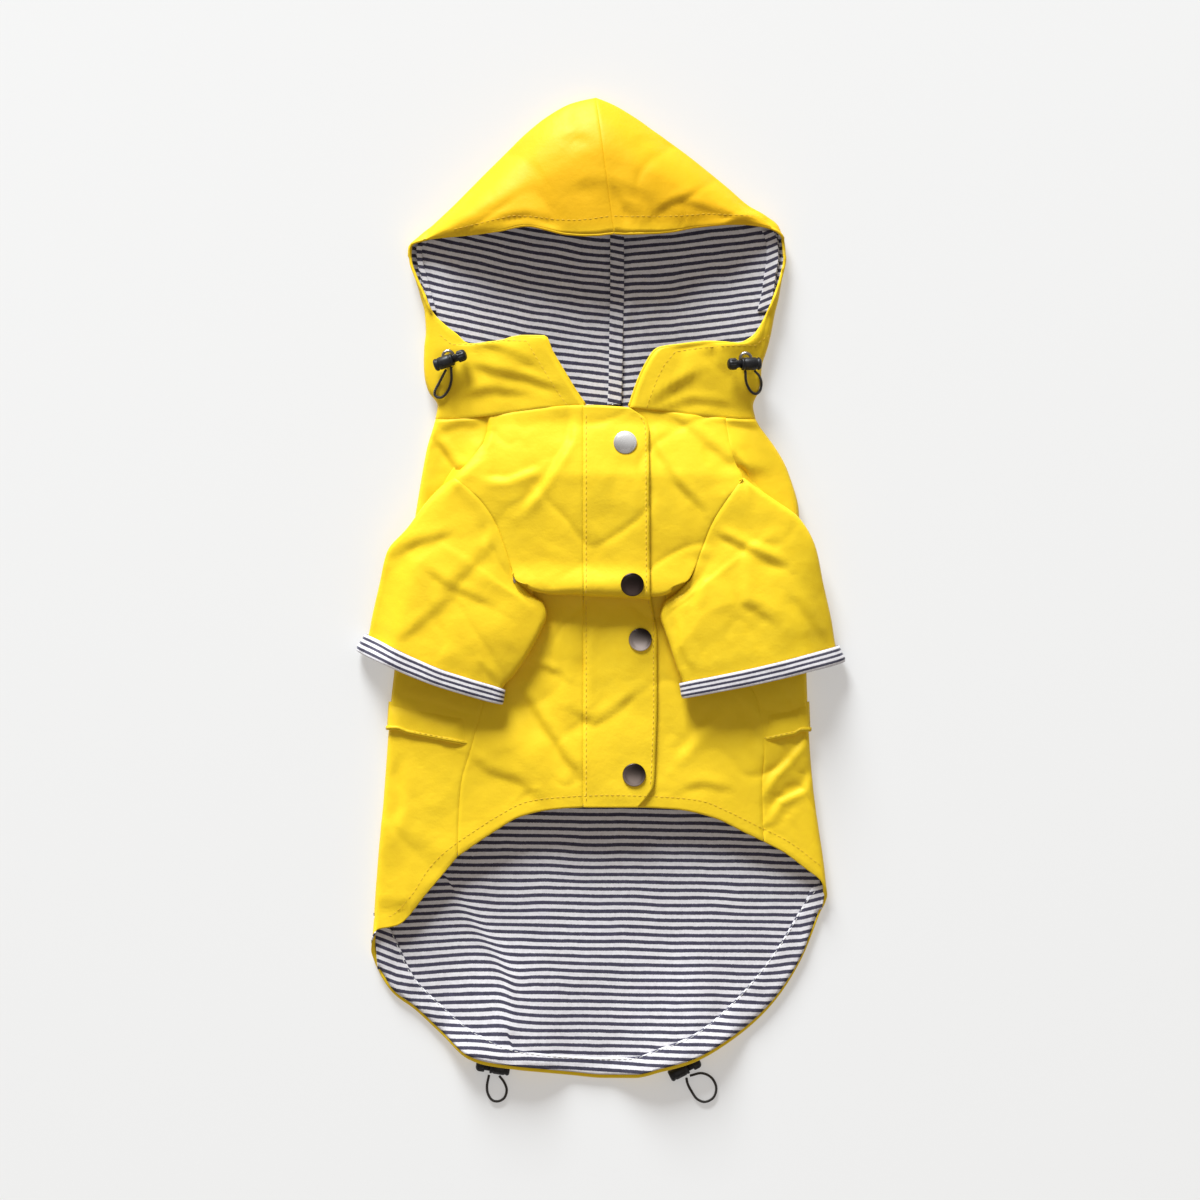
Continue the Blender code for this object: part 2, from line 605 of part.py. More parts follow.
def side_column(sign, share):
    """(x, y) down one column of the side's upper layer, from the neck to the arch."""
    def x_at(y):
        if sign < 0:
            return mix(side_left(y) + FOLD_RADIUS, through(BODY, "y", "seam_left", y) - SEAM_GAP / 2, share)
        return mix(side_right(y) - FOLD_RADIUS, through(BODY, "y", "seam_right", y) + SEAM_GAP / 2, share)

    neck = through(NECK, "x", "y", x_at(95.0)) - SEAM_GAP
    arch = -165.0
    for _ in range(4):
        arch = through(ARCH, "x", "y", x_at(arch))
    ys = [neck, mix(neck, 87.0, 0.5)] + SIDE_ROWS
    ys += [LAST_SEAM_ROW, mix(LAST_SEAM_ROW, arch, 0.5), mix(LAST_SEAM_ROW, arch, 0.9), arch]
    return [(x_at(y), y) for y in ys]


def side_height(x, y, share):
    """Height of the side's upper layer: near the chest's seam it rises with the chest."""
    joined = chest_lift(y) * share**2 * ease((y - 66.0) / 6.0)
    return body_top(x, y) + joined - crease_depth(x, y) * 0.6 * ease(share * 2)


def back_grid(offset):
    """The back's points at an offset inside its outer face, rows by columns, left seam to right."""
    columns = []
    for sign in (-1, 1):
        flat = back_flat_column(0.0 if sign < 0 else 1.0)
        upper = side_column(sign, 0.0)
        tops = [
            [(x, y, side_height(x, y, share) - offset) for x, y in side_column(sign, share)]
            for share in reversed(SIDE_SHARES)
        ]
        nose = []
        for step in range(NOSE_STEPS, -1, -1):
            angle = -math.pi / 2 + math.pi * step / NOSE_STEPS
            share = step / NOSE_STEPS
            radius = FOLD_RADIUS - offset
            centres = [(mix(a[0], b[0], share), mix(a[1], b[1], share)) for a, b in zip(flat, upper)]
            nose.append([
                (x + sign * radius * math.cos(angle), y,
                 FOLD_RADIUS + radius * math.sin(angle) + hem_lift(x, y) * (1 - share))
                for x, y in centres
            ])
        half = tops + nose
        columns.append(half if sign < 0 else half[::-1])
    flats = [
        [(x, y, offset + hem_lift(x, y)) for x, y in back_flat_column(share)]
        for share in BACK_COLUMNS[1:-1]
    ]
    return np.swapaxes(np.array(columns[0] + flats + columns[1]), 0, 1)


def back_flat_grid(offset, first_row, last_row, shares):
    rows = [[(x, y, offset + hem_lift(x, y)) for x, y in back_flat_column(s)] for s in shares]
    return np.swapaxes(np.array(rows), 0, 1)[first_row:last_row]


def build_back(yellow, striped):
    wall("back_panel", back_grid(0.0), back_grid(CLOTH), yellow)
    low = CLOTH + SEAM_GAP
    shares = BACK_COLUMNS
    rows = len(back_flat_column(0.5))
    wall("back_lining", back_flat_grid(low + LINING, LINED_FROM, rows - 1, shares),
         back_flat_grid(low, LINED_FROM, rows - 1, shares), striped)
    low += LINING + SEAM_GAP
    wall("hem_facing", back_flat_grid(low + TRIM, rows - 3, rows - 1, shares),
         back_flat_grid(low, rows - 3, rows - 1, shares), striped)


# ---------------------------------------------------------------- fronts and placket
CHEST_ROWS = CHEST_SEAM_ROWS + [50, 37, 24, 12, 5.5]
BELLY_ROWS = [-5, -27, -60, -87]
FOLD_STEPS = 4
PLACKET_RISE = 25.0  # the left front rises over this width to meet the placket
PLACKET_LAP = 1.4  # the right front starts this far under the placket
PLACKET_SAMPLE_X = 10.0  # the placket's rows are read down its middle


def front_profile(x):
    """(y, z, normal_y, normal_z) down the front at one X, round the fold where chest meets belly."""
    neck = through(NECK, "x", "y", x) - SEAM_GAP
    points = []
    for y in [neck, mix(neck, 87.0, 0.5)] + CHEST_ROWS:
        points.append((y, body_top(x, y) + chest_lift(y) - crease_depth(x, y), 0.0, 1.0))
    tip = through(FOLD, "x", "y", x) + FOLD_TIP_RADIUS
    base = body_top(x, FOLD_CREASE_Y)
    top = base + CHEST_LIFT - FOLD_TIP_RADIUS
    for step in range(FOLD_STEPS + 1):
        angle = math.pi / 2 + math.pi * step / FOLD_STEPS
        across, up = math.cos(angle), math.sin(angle)
        points.append((tip + FOLD_TIP_RADIUS * across, top + FOLD_TIP_RADIUS * up, across, up))
    middle = base + FOLD_CREASE_RADIUS
    for step in range(FOLD_STEPS + 1):
        angle = math.pi / 2 - math.pi * step / FOLD_STEPS
        across, up = math.cos(angle), math.sin(angle)
        points.append((FOLD_CREASE_Y + FOLD_CREASE_RADIUS * across, middle + FOLD_CREASE_RADIUS * up, -across, -up))
    arch = through(ARCH, "x", "y", x)
    ys = BELLY_ROWS + [LAST_SEAM_ROW, mix(LAST_SEAM_ROW, arch, 0.5), mix(LAST_SEAM_ROW, arch, 0.9), arch]
    for y in ys:
        points.append((y, body_top(x, y) - crease_depth(x, y), 0.0, 1.0))
    return points


def front_outer_edge(sign):
    """X of a front's outer edge at each row: the seam, the armhole, the fold's end, then the seam."""
    side = "left" if sign < 0 else "right"
    arch = through(ARCH, "x", "y", through(BODY, "y", "seam_" + side, -140.0))
    last = [LAST_SEAM_ROW, mix(LAST_SEAM_ROW, arch, 0.5), mix(LAST_SEAM_ROW, arch, 0.9), arch]
    edge = [through(BODY, "y", "seam_" + side, y) for y in [97.0, 92.0] + CHEST_SEAM_ROWS]
    edge += [through(ARMHOLE, "y", side, y) for y in CHEST_ROWS[len(CHEST_SEAM_ROWS):]]
    edge += [CHEST_FOLD_LEFT if sign < 0 else CHEST_FOLD_RIGHT] * (2 * FOLD_STEPS + 2)
    edge += [through(BODY, "y", "seam_" + side, y) for y in BELLY_ROWS + last]
    return [x - sign * SEAM_GAP / 2 for x in edge]


def front_grid(columns_by_row, rise):
    """Front points for rows of X values. The rise moves points out from the cloth, by X."""
    rows = []
    for index, xs in enumerate(columns_by_row):
        row = []
        for x in xs:
            y, z, across, up = front_profile(x)[index]
            out = rise(x, index)
            row.append((x, y + out * across, z + out * up))
        rows.append(row)
    return np.array(rows)


def left_rise(x, _):
    return (CLOTH + LAYER_GAP) * ease((x - PLACKET_LEFT + PLACKET_RISE) / (PLACKET_RISE * 0.7))


def build_fronts(yellow):
    columns = [
        [mix(PLACKET_LEFT - SEAM_GAP, x, share) for share in (0, 0.12, 0.28, 0.5, 0.72, 0.88, 1)]
        for x in front_outer_edge(-1)
    ]
    wall("front_left", front_grid(columns, left_rise),
         front_grid(columns, lambda x, row: left_rise(x, row) - CLOTH), yellow)
    rights = [through(PLACKET, "y", "right", y) for y, _, _, _ in front_profile(PLACKET_SAMPLE_X)]
    strip = [[mix(PLACKET_LEFT, right, share) for share in (0, 0.33, 0.66, 1)] for right in rights]
    wall("placket", front_grid(strip, lambda x, row: LAYER_GAP + CLOTH),
         front_grid(strip, lambda x, row: LAYER_GAP), yellow)
    columns = [
        [PLACKET_LEFT + PLACKET_LAP] + xs[1:] + [mix(xs[-1], x, share) for share in (0.3, 0.6, 0.85, 1)]
        for xs, x in zip(strip, front_outer_edge(1))
    ]
    wall("front_right", front_grid(columns, lambda x, row: 0.0),
         front_grid(columns, lambda x, row: -CLOTH), yellow)


# ---------------------------------------------------------------- sleeves and cuffs
SLEEVE_NOSE_STEPS = 4
SLEEVE_SHARES = [0, 0.2, 0.4, 0.57, 0.74, 1]
SEAM_FOLD_REACH = 0.8  # at the armhole the folds turn tighter
CUFF_FLARE = 0.08


def sleeve_sections(table, side):
    """Per ring: its spots from the outer fold to the inner, both folds' directions and radii, loft."""
    sign = -1 if side == "left" else 1
    armhole = [Vector((getattr(row, side) + sign * SEAM_GAP / 2, row.y)) for row in ARMHOLE]
    outers = [armhole[0]] + [Vector((row.outer_x, row.outer_y)) for row in table]
    inners = [armhole[-1]] + [Vector((row.inner_x, row.inner_y)) for row in table]
    outer_normals = outline_normals(outers, sign > 0)
    inner_normals = outline_normals(inners, sign < 0)
    regular = next(row for row in table if row.armhole_share == 0)
    sections = []
    for index, (outer, inner) in enumerate(zip(outers, inners)):
        radii = [(chest_lift(p.y) - SLEEVE_CLEARANCE) / 2 for p in (outer, inner)]
        reach, loft, bow = SEAM_FOLD_REACH, 0.0, 1.0
        outward = (outer - armhole[1]).normalized(), (inner - armhole[-2]).normalized()
        if index:
            row = table[index - 1]
            radii, loft, bow = [row.radius, row.radius], row.loft, row.armhole_share
            reach = row.radius
            outward = (outer - inner).normalized(), (inner - outer).normalized()
        normals = [(across + path).normalized()
                   for across, path in zip(outward, (outer_normals[index], inner_normals[index]))]
        outer = outer - normals[0] * reach
        inner = inner - normals[1] * reach
        straight = Vector((regular.outer_x, regular.outer_y)), Vector((regular.inner_x, regular.inner_y))
        spots = [outer.lerp(inner, share) for share in SLEEVE_SHARES]
        if bow:
            for at in range(1, len(spots) - 1):
                spots[at] = straight[0].lerp(straight[1], SLEEVE_SHARES[at]).lerp(armhole[at], bow)
        sections.append((spots, normals, reach, radii, loft))
    return sections


def sleeve_ring(section, at_armhole):
    """Outer points round one ring: top, inner fold, underside, outer fold."""
    spots, normals, reach, radii, loft = section

    def fold(spot, normal, radius, angles):
        centre = sleeve_floor(spot.x, spot.y) + radius
        return [(spot.x + normal.x * reach * math.cos(a), spot.y + normal.y * reach * math.cos(a),
                 centre + radius * math.sin(a)) for a in angles]

    points = []
    for share, spot in zip(SLEEVE_SHARES, spots):
        height = 2 * mix(radii[0], radii[1], share) + loft * (1 - abs(2 * share - 1) ** 2.4)
        top = sleeve_floor(spot.x, spot.y) + height
        if at_armhole:
            top = body_top(spot.x, spot.y) + chest_lift(spot.y)
        points.append((spot.x, spot.y, top - crease_depth(spot.x, spot.y)))
    angles = [-math.pi / 2 + math.pi * step / SLEEVE_NOSE_STEPS for step in range(1, SLEEVE_NOSE_STEPS)]
    points += fold(spots[-1], normals[1], radii[1], reversed(angles))
    points += [(spot.x, spot.y, sleeve_floor(spot.x, spot.y)) for spot in reversed(spots)]
    points += fold(spots[0], normals[0], radii[0], angles)
    return points


def tube_offset(rings, distance):
    """The tube's points moved out along the surface's directions."""
    ahead = np.roll(rings, -1, axis=1)
    faces = np.cross(ahead[:-1] - rings[1:], ahead[1:] - rings[:-1])
    faces /= np.linalg.norm(faces, axis=2, keepdims=True)
    normals = np.zeros_like(rings)
    for rows in (slice(0, -1), slice(1, None)):
        normals[rows] += faces + np.roll(faces, 1, axis=1)
    normals /= np.linalg.norm(normals, axis=2, keepdims=True)
    middle = rings.mean(axis=1, keepdims=True)
    outward = np.sign(np.sum(normals * (rings - middle)))
    return rings + normals * outward * distance


def build_sleeve(side, table, yellow, striped):
    sections = sleeve_sections(table, side)

    outside = np.array([sleeve_ring(section, section is sections[0]) for section in sections])
    wall(f"sleeve_{side}", outside, tube_offset(outside, -CLOTH), yellow, ring=True)
    over, under = [tube_offset(outside, gap)[-2:] for gap in (LAYER_GAP + CLOTH, LAYER_GAP)]
    for layer in (over, under):
        layer[1, :, :2] += (layer[1, :, :2] - layer[0, :, :2]) * CUFF_FLARE
    wall(f"cuff_{side}", over, under, striped, ring=True)


# ---------------------------------------------------------------- hood
HOOD_FLAT_SHARES = [0, 0.25, 0.5, 0.72, 0.9, 1.0]
HOOD_NOSE_STEPS = 4
HOOD_TOP_SHARES = [0.2, 0.4, 0.6, 0.8, 1.0]
FACING_SHARE = 4  # facing starts at this flat column


def hood_grid(table, sign, offset, first_row=0, last_row=None, first_column=0, columns=None):
    normals = outline_normals([Vector((row.side_x, row.side_y)) for row in table], sign < 0)
    normals[0] = Vector((sign, 0))
    normals[-1] = Vector((0, 1))
    grid = []
    for row, normal in zip(table, normals):
        seam = Vector((row.seam_x + sign * SEAM_GAP / 2, row.seam_y))
        side = Vector((row.side_x, row.side_y)) - normal * FOLD_RADIUS
        if row is table[-1]:
            side.x += sign * SEAM_GAP / 2
            seam = side.copy()
        edge = Vector((row.edge_x, row.edge_y))
        if row is table[-1] or row is table[-2] or row is table[-3]:
            edge.x += sign * SEAM_GAP / 2
        points = [(*seam.lerp(side, share), offset) for share in HOOD_FLAT_SHARES]
        radius = FOLD_RADIUS - offset
        last_angle = math.pi * (0.55 + 0.45 * row.turned)
        for step in range(1, HOOD_NOSE_STEPS + 1):
            angle = -math.pi / 2 + last_angle * step / HOOD_NOSE_STEPS
            spot = side + normal * (radius * math.cos(angle))
            points.append((*spot, FOLD_RADIUS + radius * math.sin(angle)))
        start = Vector(points[-1])
        end = Vector((*edge, row.edge_height - offset))
        if row.turned < 1.0:
            end = start
        for share in HOOD_TOP_SHARES:
            spot = start.lerp(end, share)
            spot.z = mix(start.z, end.z, 1 - (1 - share) ** 2.2)
            if row is table[0]:
                spot.y = through(NECK, "x", "y", spot.x)
            points.append(tuple(spot))
        grid.append(points[first_column:columns])
    return np.array(grid[first_row:last_row])


def build_hood(side, table, yellow, striped):
    sign = -1 if side == "left" else 1
    wall(f"hood_{side}", hood_grid(table, sign, 0.0), hood_grid(table, sign, CLOTH), yellow)
    low = CLOTH + SEAM_GAP
    flat = len(HOOD_FLAT_SHARES)
    lined = dict(last_row=HOOD_LINED_ROWS, columns=flat + 1)
    wall(f"hood_lining_{side}", hood_grid(table, sign, low + LINING, **lined),
         hood_grid(table, sign, low, **lined), striped)
    low += LINING + SEAM_GAP
    faced = dict(first_row=HOOD_FACED_ROWS[0], last_row=HOOD_FACED_ROWS[1],
                 first_column=FACING_SHARE, columns=flat + 1)
    wall(f"hood_facing_{side}", hood_grid(table, sign, low + TRIM, **faced),
         hood_grid(table, sign, low, **faced), striped)


def build_seam_tape(striped):
    half_width = 3.8
    low = CLOTH + LINING + 2 * SEAM_GAP
    rows = [row for row in HOOD_LEFT[:HOOD_LINED_ROWS] if row.seam_y > 96]

    def grid(height):
        return [[(row.seam_x + reach, row.seam_y, height) for reach in (-half_width, half_width)] for row in rows]

    wall("hood_seam_tape", grid(low + TRIM), grid(low), striped)


# ---------------------------------------------------------------- flaps, snaps, eyelets
def build_flap(side, table, yellow):
    sign = -1 if side == "left" else 1
    inner = max(row.x for row in table) if sign < 0 else min(row.x for row in table)
    angles = [math.radians(a) for a in (25, 55, 90)]

    def point(spot, fraction, offset):
        kind, value = spot
        if kind == "nose":
            y = mix(through(table, "x", "upper", sign * 115), through(table, "x", "lower", sign * 115), fraction)
            edge = side_left(y) if sign < 0 else side_right(y)
            radius = FOLD_RADIUS + offset
            return (edge - sign * FOLD_RADIUS + sign * radius * math.cos(value), y,
                    FOLD_RADIUS + radius * math.sin(value))
        y = mix(through(table, "x", "upper", value), through(table, "x", "lower", value), fraction)
        return (value, y, body_top(value, y) + offset)

    xs = [mix(sign * 107.0, inner, share) for share in (0, 0.35, 0.7, 1)]
    spots = [("nose", a) for a in angles] + [("top", x) for x in xs]

    def grid(offset):
        return [[point(spot, fraction, offset) for spot in spots] for fraction in (0, 0.5, 1)]

    wall(f"flap_{side}", grid(LAYER_GAP + CLOTH), grid(LAYER_GAP), yellow)


def build_snaps(metal):
    r, h = SNAP_RADIUS, SNAP_HEIGHT
    profile = [(0, 0), (r - 0.5, 0), (r, 0.5), (r - 0.1, 1.0), (r - 1.2, h - 0.35), (r * 0.45, h), (0, h + 0.1)]
    for number, place in enumerate(SNAPS, start=1):
        z = top_height(surfaces("placket"), place.x, place.y, SNAP_RADIUS) + SEAM_GAP
        turned(f"snap_{number}", profile, metal, 20, Matrix.Translation(Vector((place.x, place.y, z)) * MM))


def build_eyelets(metal):
    outer, hole = EYELET_RADIUS, EYELET_HOLE_RADIUS
    profile = [(hole, 0), (outer, 0), (outer, 0.4), (outer - 1.0, 0.9), (hole, 0.7)]
    for place in EYELETS:
        z = top_height(surfaces(f"hood_{place.name}"), place.x, place.y, EYELET_RADIUS) + SEAM_GAP
        turned(f"eyelet_{place.name}", profile, metal, 16,
               Matrix.Translation(Vector((place.x, place.y, z)) * MM))


# ---------------------------------------------------------------- cord locks and cords
def lock_pose(place):
    """Where a lock lies on what is under it: on the hood and its eyelet, or on the table."""
    along = Vector((math.cos(math.radians(place.heading)), math.sin(math.radians(place.heading))))
    reach = LOCK_RADIUS * 0.8
    steps = np.linspace(-LOCK_LENGTH / 2, LOCK_LENGTH / 2 + PLUNGER_GAP + PLUNGER_HEAD_LENGTH, 8)
    spots = [Vector((place.x, place.y)) + along * step for step in steps]
    cloth = surfaces(*place.on)
    heights = [top_height(cloth, spot.x, spot.y, reach) for spot in spots]
    slope = (heights[-1] - heights[0]) / (steps[-1] - steps[0])
    rest = max(height - slope * step for height, step in zip(heights, steps)) - place.settle
    centre = Vector((place.x, place.y, rest + (LOCK_RADIUS + LAYER_GAP * bool(cloth)) * math.hypot(1, slope)))
    turn = Matrix.Rotation(math.radians(place.heading), 4, "Z")
    return Matrix.Translation(centre * MM) @ turn @ Matrix.Rotation(math.pi / 2 - math.atan(slope), 4, "Y")


def build_lock(place, plastic):
    half = LOCK_LENGTH / 2
    bore_floor = half - LOCK_BORE_DEPTH
    r = LOCK_RADIUS
    barrel = [(0, -half), (r - 0.6, -half), (r, -half + 0.6), (r, half - 0.5), (r - 0.4, half),
              (LOCK_BORE_RADIUS, half), (LOCK_BORE_RADIUS, bore_floor), (0, bore_floor)]
    head = half + PLUNGER_GAP
    tip = head + PLUNGER_HEAD_LENGTH
    stem, top = PLUNGER_STEM_RADIUS, PLUNGER_HEAD_RADIUS
    plunger = [(0, half - PLUNGER_INSERTED), (stem, half - PLUNGER_INSERTED), (stem, head),
               (top - 0.3, head), (top, head + 0.4), (top, tip - 1.2), (top - 1.2, tip), (0, tip)]
    where = lock_pose(place)
    turned(f"lock_{place.name}_barrel", barrel, plastic, 16, where)
    turned(f"lock_{place.name}_plunger", plunger, plastic, 16, where)


def build_cord(name, route, cloth, black):
    curve = bpy.data.curves.new(f"cord_{name}", "CURVE")
    curve.dimensions = "3D"
    curve.bevel_depth = CORD_RADIUS * MM
    curve.bevel_resolution = 2
    curve.use_fill_caps = True
    raised = [(x, y, top_height(cloth, x, y, CORD_RADIUS) + CORD_RADIUS + above) for x, y, above in route]
    points = smooth_route(raised, 2.2 * CORD_RADIUS)
    spline = curve.splines.new("POLY")
    spline.points.add(len(points) - 1)
    for point, spot in zip(spline.points, points):
        point.co = (*(spot * MM), 1.0)
    made = bpy.data.objects.new(f"cord_{name}", curve)
    bpy.context.scene.collection.objects.link(made)
    curve.materials.append(black)


# ---------------------------------------------------------------- the coat
def main():
    for existing in list(bpy.data.objects):
        bpy.data.objects.remove(existing, do_unlink=True)
    yellow = material("yellow_cloth", (0.90, 0.62, 0.02), 0.6)
    striped = material("striped_cotton", (0.62, 0.60, 0.64), 0.8)
    metal = material("gunmetal", (0.25, 0.22, 0.21), 0.3, 1.0)
    nickel = material("nickel", (0.75, 0.73, 0.70), 0.25, 1.0)
    plastic = material("black_plastic", (0.02, 0.02, 0.02), 0.35)
    black = material("black_cord", (0.03, 0.03, 0.03), 0.8)

    build_back(yellow, striped)
    build_fronts(yellow)
    build_sleeve("left", SLEEVE_LEFT, yellow, striped)
    build_sleeve("right", SLEEVE_RIGHT, yellow, striped)
    build_hood("left", HOOD_LEFT, yellow, striped)
    build_hood("right", HOOD_RIGHT, yellow, striped)
    build_seam_tape(striped)
    build_flap("left", FLAP_LEFT, yellow)
    build_flap("right", FLAP_RIGHT, yellow)
    build_snaps(metal)
    build_eyelets(nickel)
    for place in LOCKS:
        build_lock(place, plastic)
    for name, route in CORDS.items():
        build_cord(name, route, surfaces(name) if name.startswith("hood") else [], black)


main()
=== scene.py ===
"""A dog raincoat laid flat, belly side up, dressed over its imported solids.

Tables and cloth functions are in millimetres, as the solids' are; meshes are written in metres.
"""

import math
from collections import namedtuple

import bmesh
import bpy
import numpy as np
from mathutils import Matrix, Vector
from mathutils.bvhtree import BVHTree


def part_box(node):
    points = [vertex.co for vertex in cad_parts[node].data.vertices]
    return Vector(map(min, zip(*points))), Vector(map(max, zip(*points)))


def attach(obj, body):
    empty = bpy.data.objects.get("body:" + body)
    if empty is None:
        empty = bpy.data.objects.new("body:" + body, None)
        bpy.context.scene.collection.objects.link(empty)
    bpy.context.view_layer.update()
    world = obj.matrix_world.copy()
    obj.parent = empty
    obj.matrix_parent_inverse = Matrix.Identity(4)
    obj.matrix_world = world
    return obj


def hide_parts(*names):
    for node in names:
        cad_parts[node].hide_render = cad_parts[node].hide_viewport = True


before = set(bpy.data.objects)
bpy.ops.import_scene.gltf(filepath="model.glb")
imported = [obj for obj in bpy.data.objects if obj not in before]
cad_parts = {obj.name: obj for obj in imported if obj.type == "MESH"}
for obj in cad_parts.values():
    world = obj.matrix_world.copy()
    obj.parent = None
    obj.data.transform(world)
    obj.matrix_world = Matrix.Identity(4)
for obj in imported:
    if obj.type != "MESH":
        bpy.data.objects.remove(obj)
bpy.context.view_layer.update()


def named_rows(columns, rows):
    """The rows of a table with their columns named."""
    row = namedtuple("Row", columns)
    return [row(*values) for values in rows]


# ---------------------------------------------------------------- driving dimensions, millimetres
MM = 0.001
DOWN = Vector((0, 0, -1))
RAY_FROM = 60.0  # above the whole coat
CLOTH = 1.2  # outer cloth wall
LINING = 1.0  # striped lining wall
TRIM = 0.8  # facings, seam strip
SEAM_GAP = 0.3  # between pieces that are sewn edge to edge
LAYER_GAP = 0.35  # between pieces that lie on each other
FOLD_RADIUS = 4.0  # where the coat's sides turn up from the table
EDGE_SHOWN = 2.0  # yellow edge left beyond the striped hem facing

CHEST_LIFT = 8.0  # how far the chest stands over the belly at its fold
CHEST_LIFT_START = 97.0  # it starts to rise below the neck
CHEST_LIFT_RUN = 45.0
FOLD_TIP_RADIUS = 1.7
FOLD_CREASE_RADIUS = 2.3
FOLD_CREASE_Y = 5.0
PLACKET_LEFT = -9.4
SLEEVE_CLEARANCE = 2.2  # sleeve above the body it lies on
SLEEVE_FLOOR = 1.8  # lowest point of a sleeve beyond the body's side

SNAP_RADIUS = 6.4
SNAP_HEIGHT = 1.9
LOCK_RADIUS = 3.5
LOCK_LENGTH = 11.0
LOCK_BORE_RADIUS = 2.5
LOCK_BORE_DEPTH = 9.2
PLUNGER_STEM_RADIUS = 2.2
PLUNGER_HEAD_RADIUS = 3.3
PLUNGER_HEAD_LENGTH = 5.0
PLUNGER_GAP = 2.8  # head to barrel, at rest
PLUNGER_INSERTED = 6.3
EYELET_RADIUS = 4.4
EYELET_HOLE_RADIUS = 2.2
HEM_LIFT = 7.3  # hem raised where it lies over a cord lock
HEM_LIFT_CORE = 5.5
HEM_LIFT_REACH = 26.0


# ---------------------------------------------------------------- tables, one row a section
# Sides of the body, side seams on the belly side, and height over the middle, from neck to hem.
BODY_ROWS = named_rows("y left right seam_left seam_right height", [
    (102, -89.6, 83.4, -61.6, 68.0, 15.0), (94, -90.8, 85.2, -62.2, 68.8, 15.0),
    (87, -92.8, 89.8, -63.0, 69.8, 15.5), (79, -95.2, 95.6, -66.3, 71.5, 15.5),
    (70, -97.0, 101.0, -73.5, 74.5, 15.0), (62, -98.4, 104.2, -80.0, 78.3, 14.5),
    (45, -101.2, 108.8, -88.0, 92.0, 13.0), (20, -105.0, 110.2, -88.0, 93.0, 12.2),
    (5, -107.0, 111.0, -76.0, 80.0, 12.0), (-5, -108.3, 111.4, -48.5, 48.5, 12.0),
    (-27, -111.0, 112.5, -53.0, 60.0, 12.5), (-60, -115.4, 113.7, -64.0, 86.0, 13.2),
    (-87, -117.0, 114.8, -71.2, 89.9, 13.8), (-107, -119.0, 116.5, -76.7, 88.8, 14.2),
    (-137, -120.6, 120.5, -78.4, 89.4, 14.5), (-162, -123.2, 125.1, -78.6, 89.6, 14.5),
    (-187, -127.0, 126.2, -78.8, 89.8, 14.5),
])

# Armhole seam of the chest, from where the sleeve starts to the underarm.
ARMHOLE = named_rows("y left right", [
    (62, -80.0, 78.3), (50, -66.5, 69.5), (37, -57.6, 61.3), (24, -52.5, 56.0), (12, -48.6, 51.5),
    (5.5, -46.4, 48.0),
])
CHEST_FOLD_LEFT = -40.0
CHEST_FOLD_RIGHT = 39.0

# Lower edge of the chest where it folds under, along Y at each X.
FOLD = named_rows("x y", [
    (-40, 1.4), (-33, -1.4), (-23, -1.6), (-16, -0.8), (-8, -1.8), (5, -2.2), (18, -2.8), (29, -3.6),
    (34, -3.0), (39, -0.8),
])

# Neck edge of the front: height along Y at each X.
NECK = named_rows("x y", [
    (-91, 94.3), (-86, 94.3), (-8.5, 101.8), (15.7, 100.7), (80.5, 94.3), (86, 94.3),
])

# Lower edge of the belly and the sides' upper layer, an arch from side to side.
ARCH = named_rows("x y", [
    (-127, -187.5), (-111.4, -184.0), (-98.7, -171.3), (-89.4, -157.0), (-79.5, -147.1), (-66.3, -137.8),
    (-52.5, -129.0), (-37.1, -121.8), (-8.5, -119.1), (20.6, -119.1), (51.4, -121.3), (65.2, -126.2),
    (82.2, -134.5), (99.8, -143.3), (113.0, -153.2), (126, -163.5),
])

# Back hem, and the stitch line where its striped facing starts.
HEM = named_rows("x hem stitch", [
    (-123, -206.5, -176.0), (-118.5, -217.0, -180.0), (-104.8, -228.0, -209.3), (-85.5, -245.6, -229.5),
    (-69.0, -259.3, -242.5), (-47.0, -263.2, -252.0), (-20.1, -265.9, -255.5), (0, -268.0, -256.5),
    (16.8, -268.0, -256.3), (32.2, -264.8, -251.5), (49.8, -259.9, -244.5), (69.0, -249.4, -230.0),
    (88.3, -234.0, -208.7), (103.7, -214.8, -186.5), (113.0, -197.2, -170.5), (121.5, -175.0, -160.0),
])

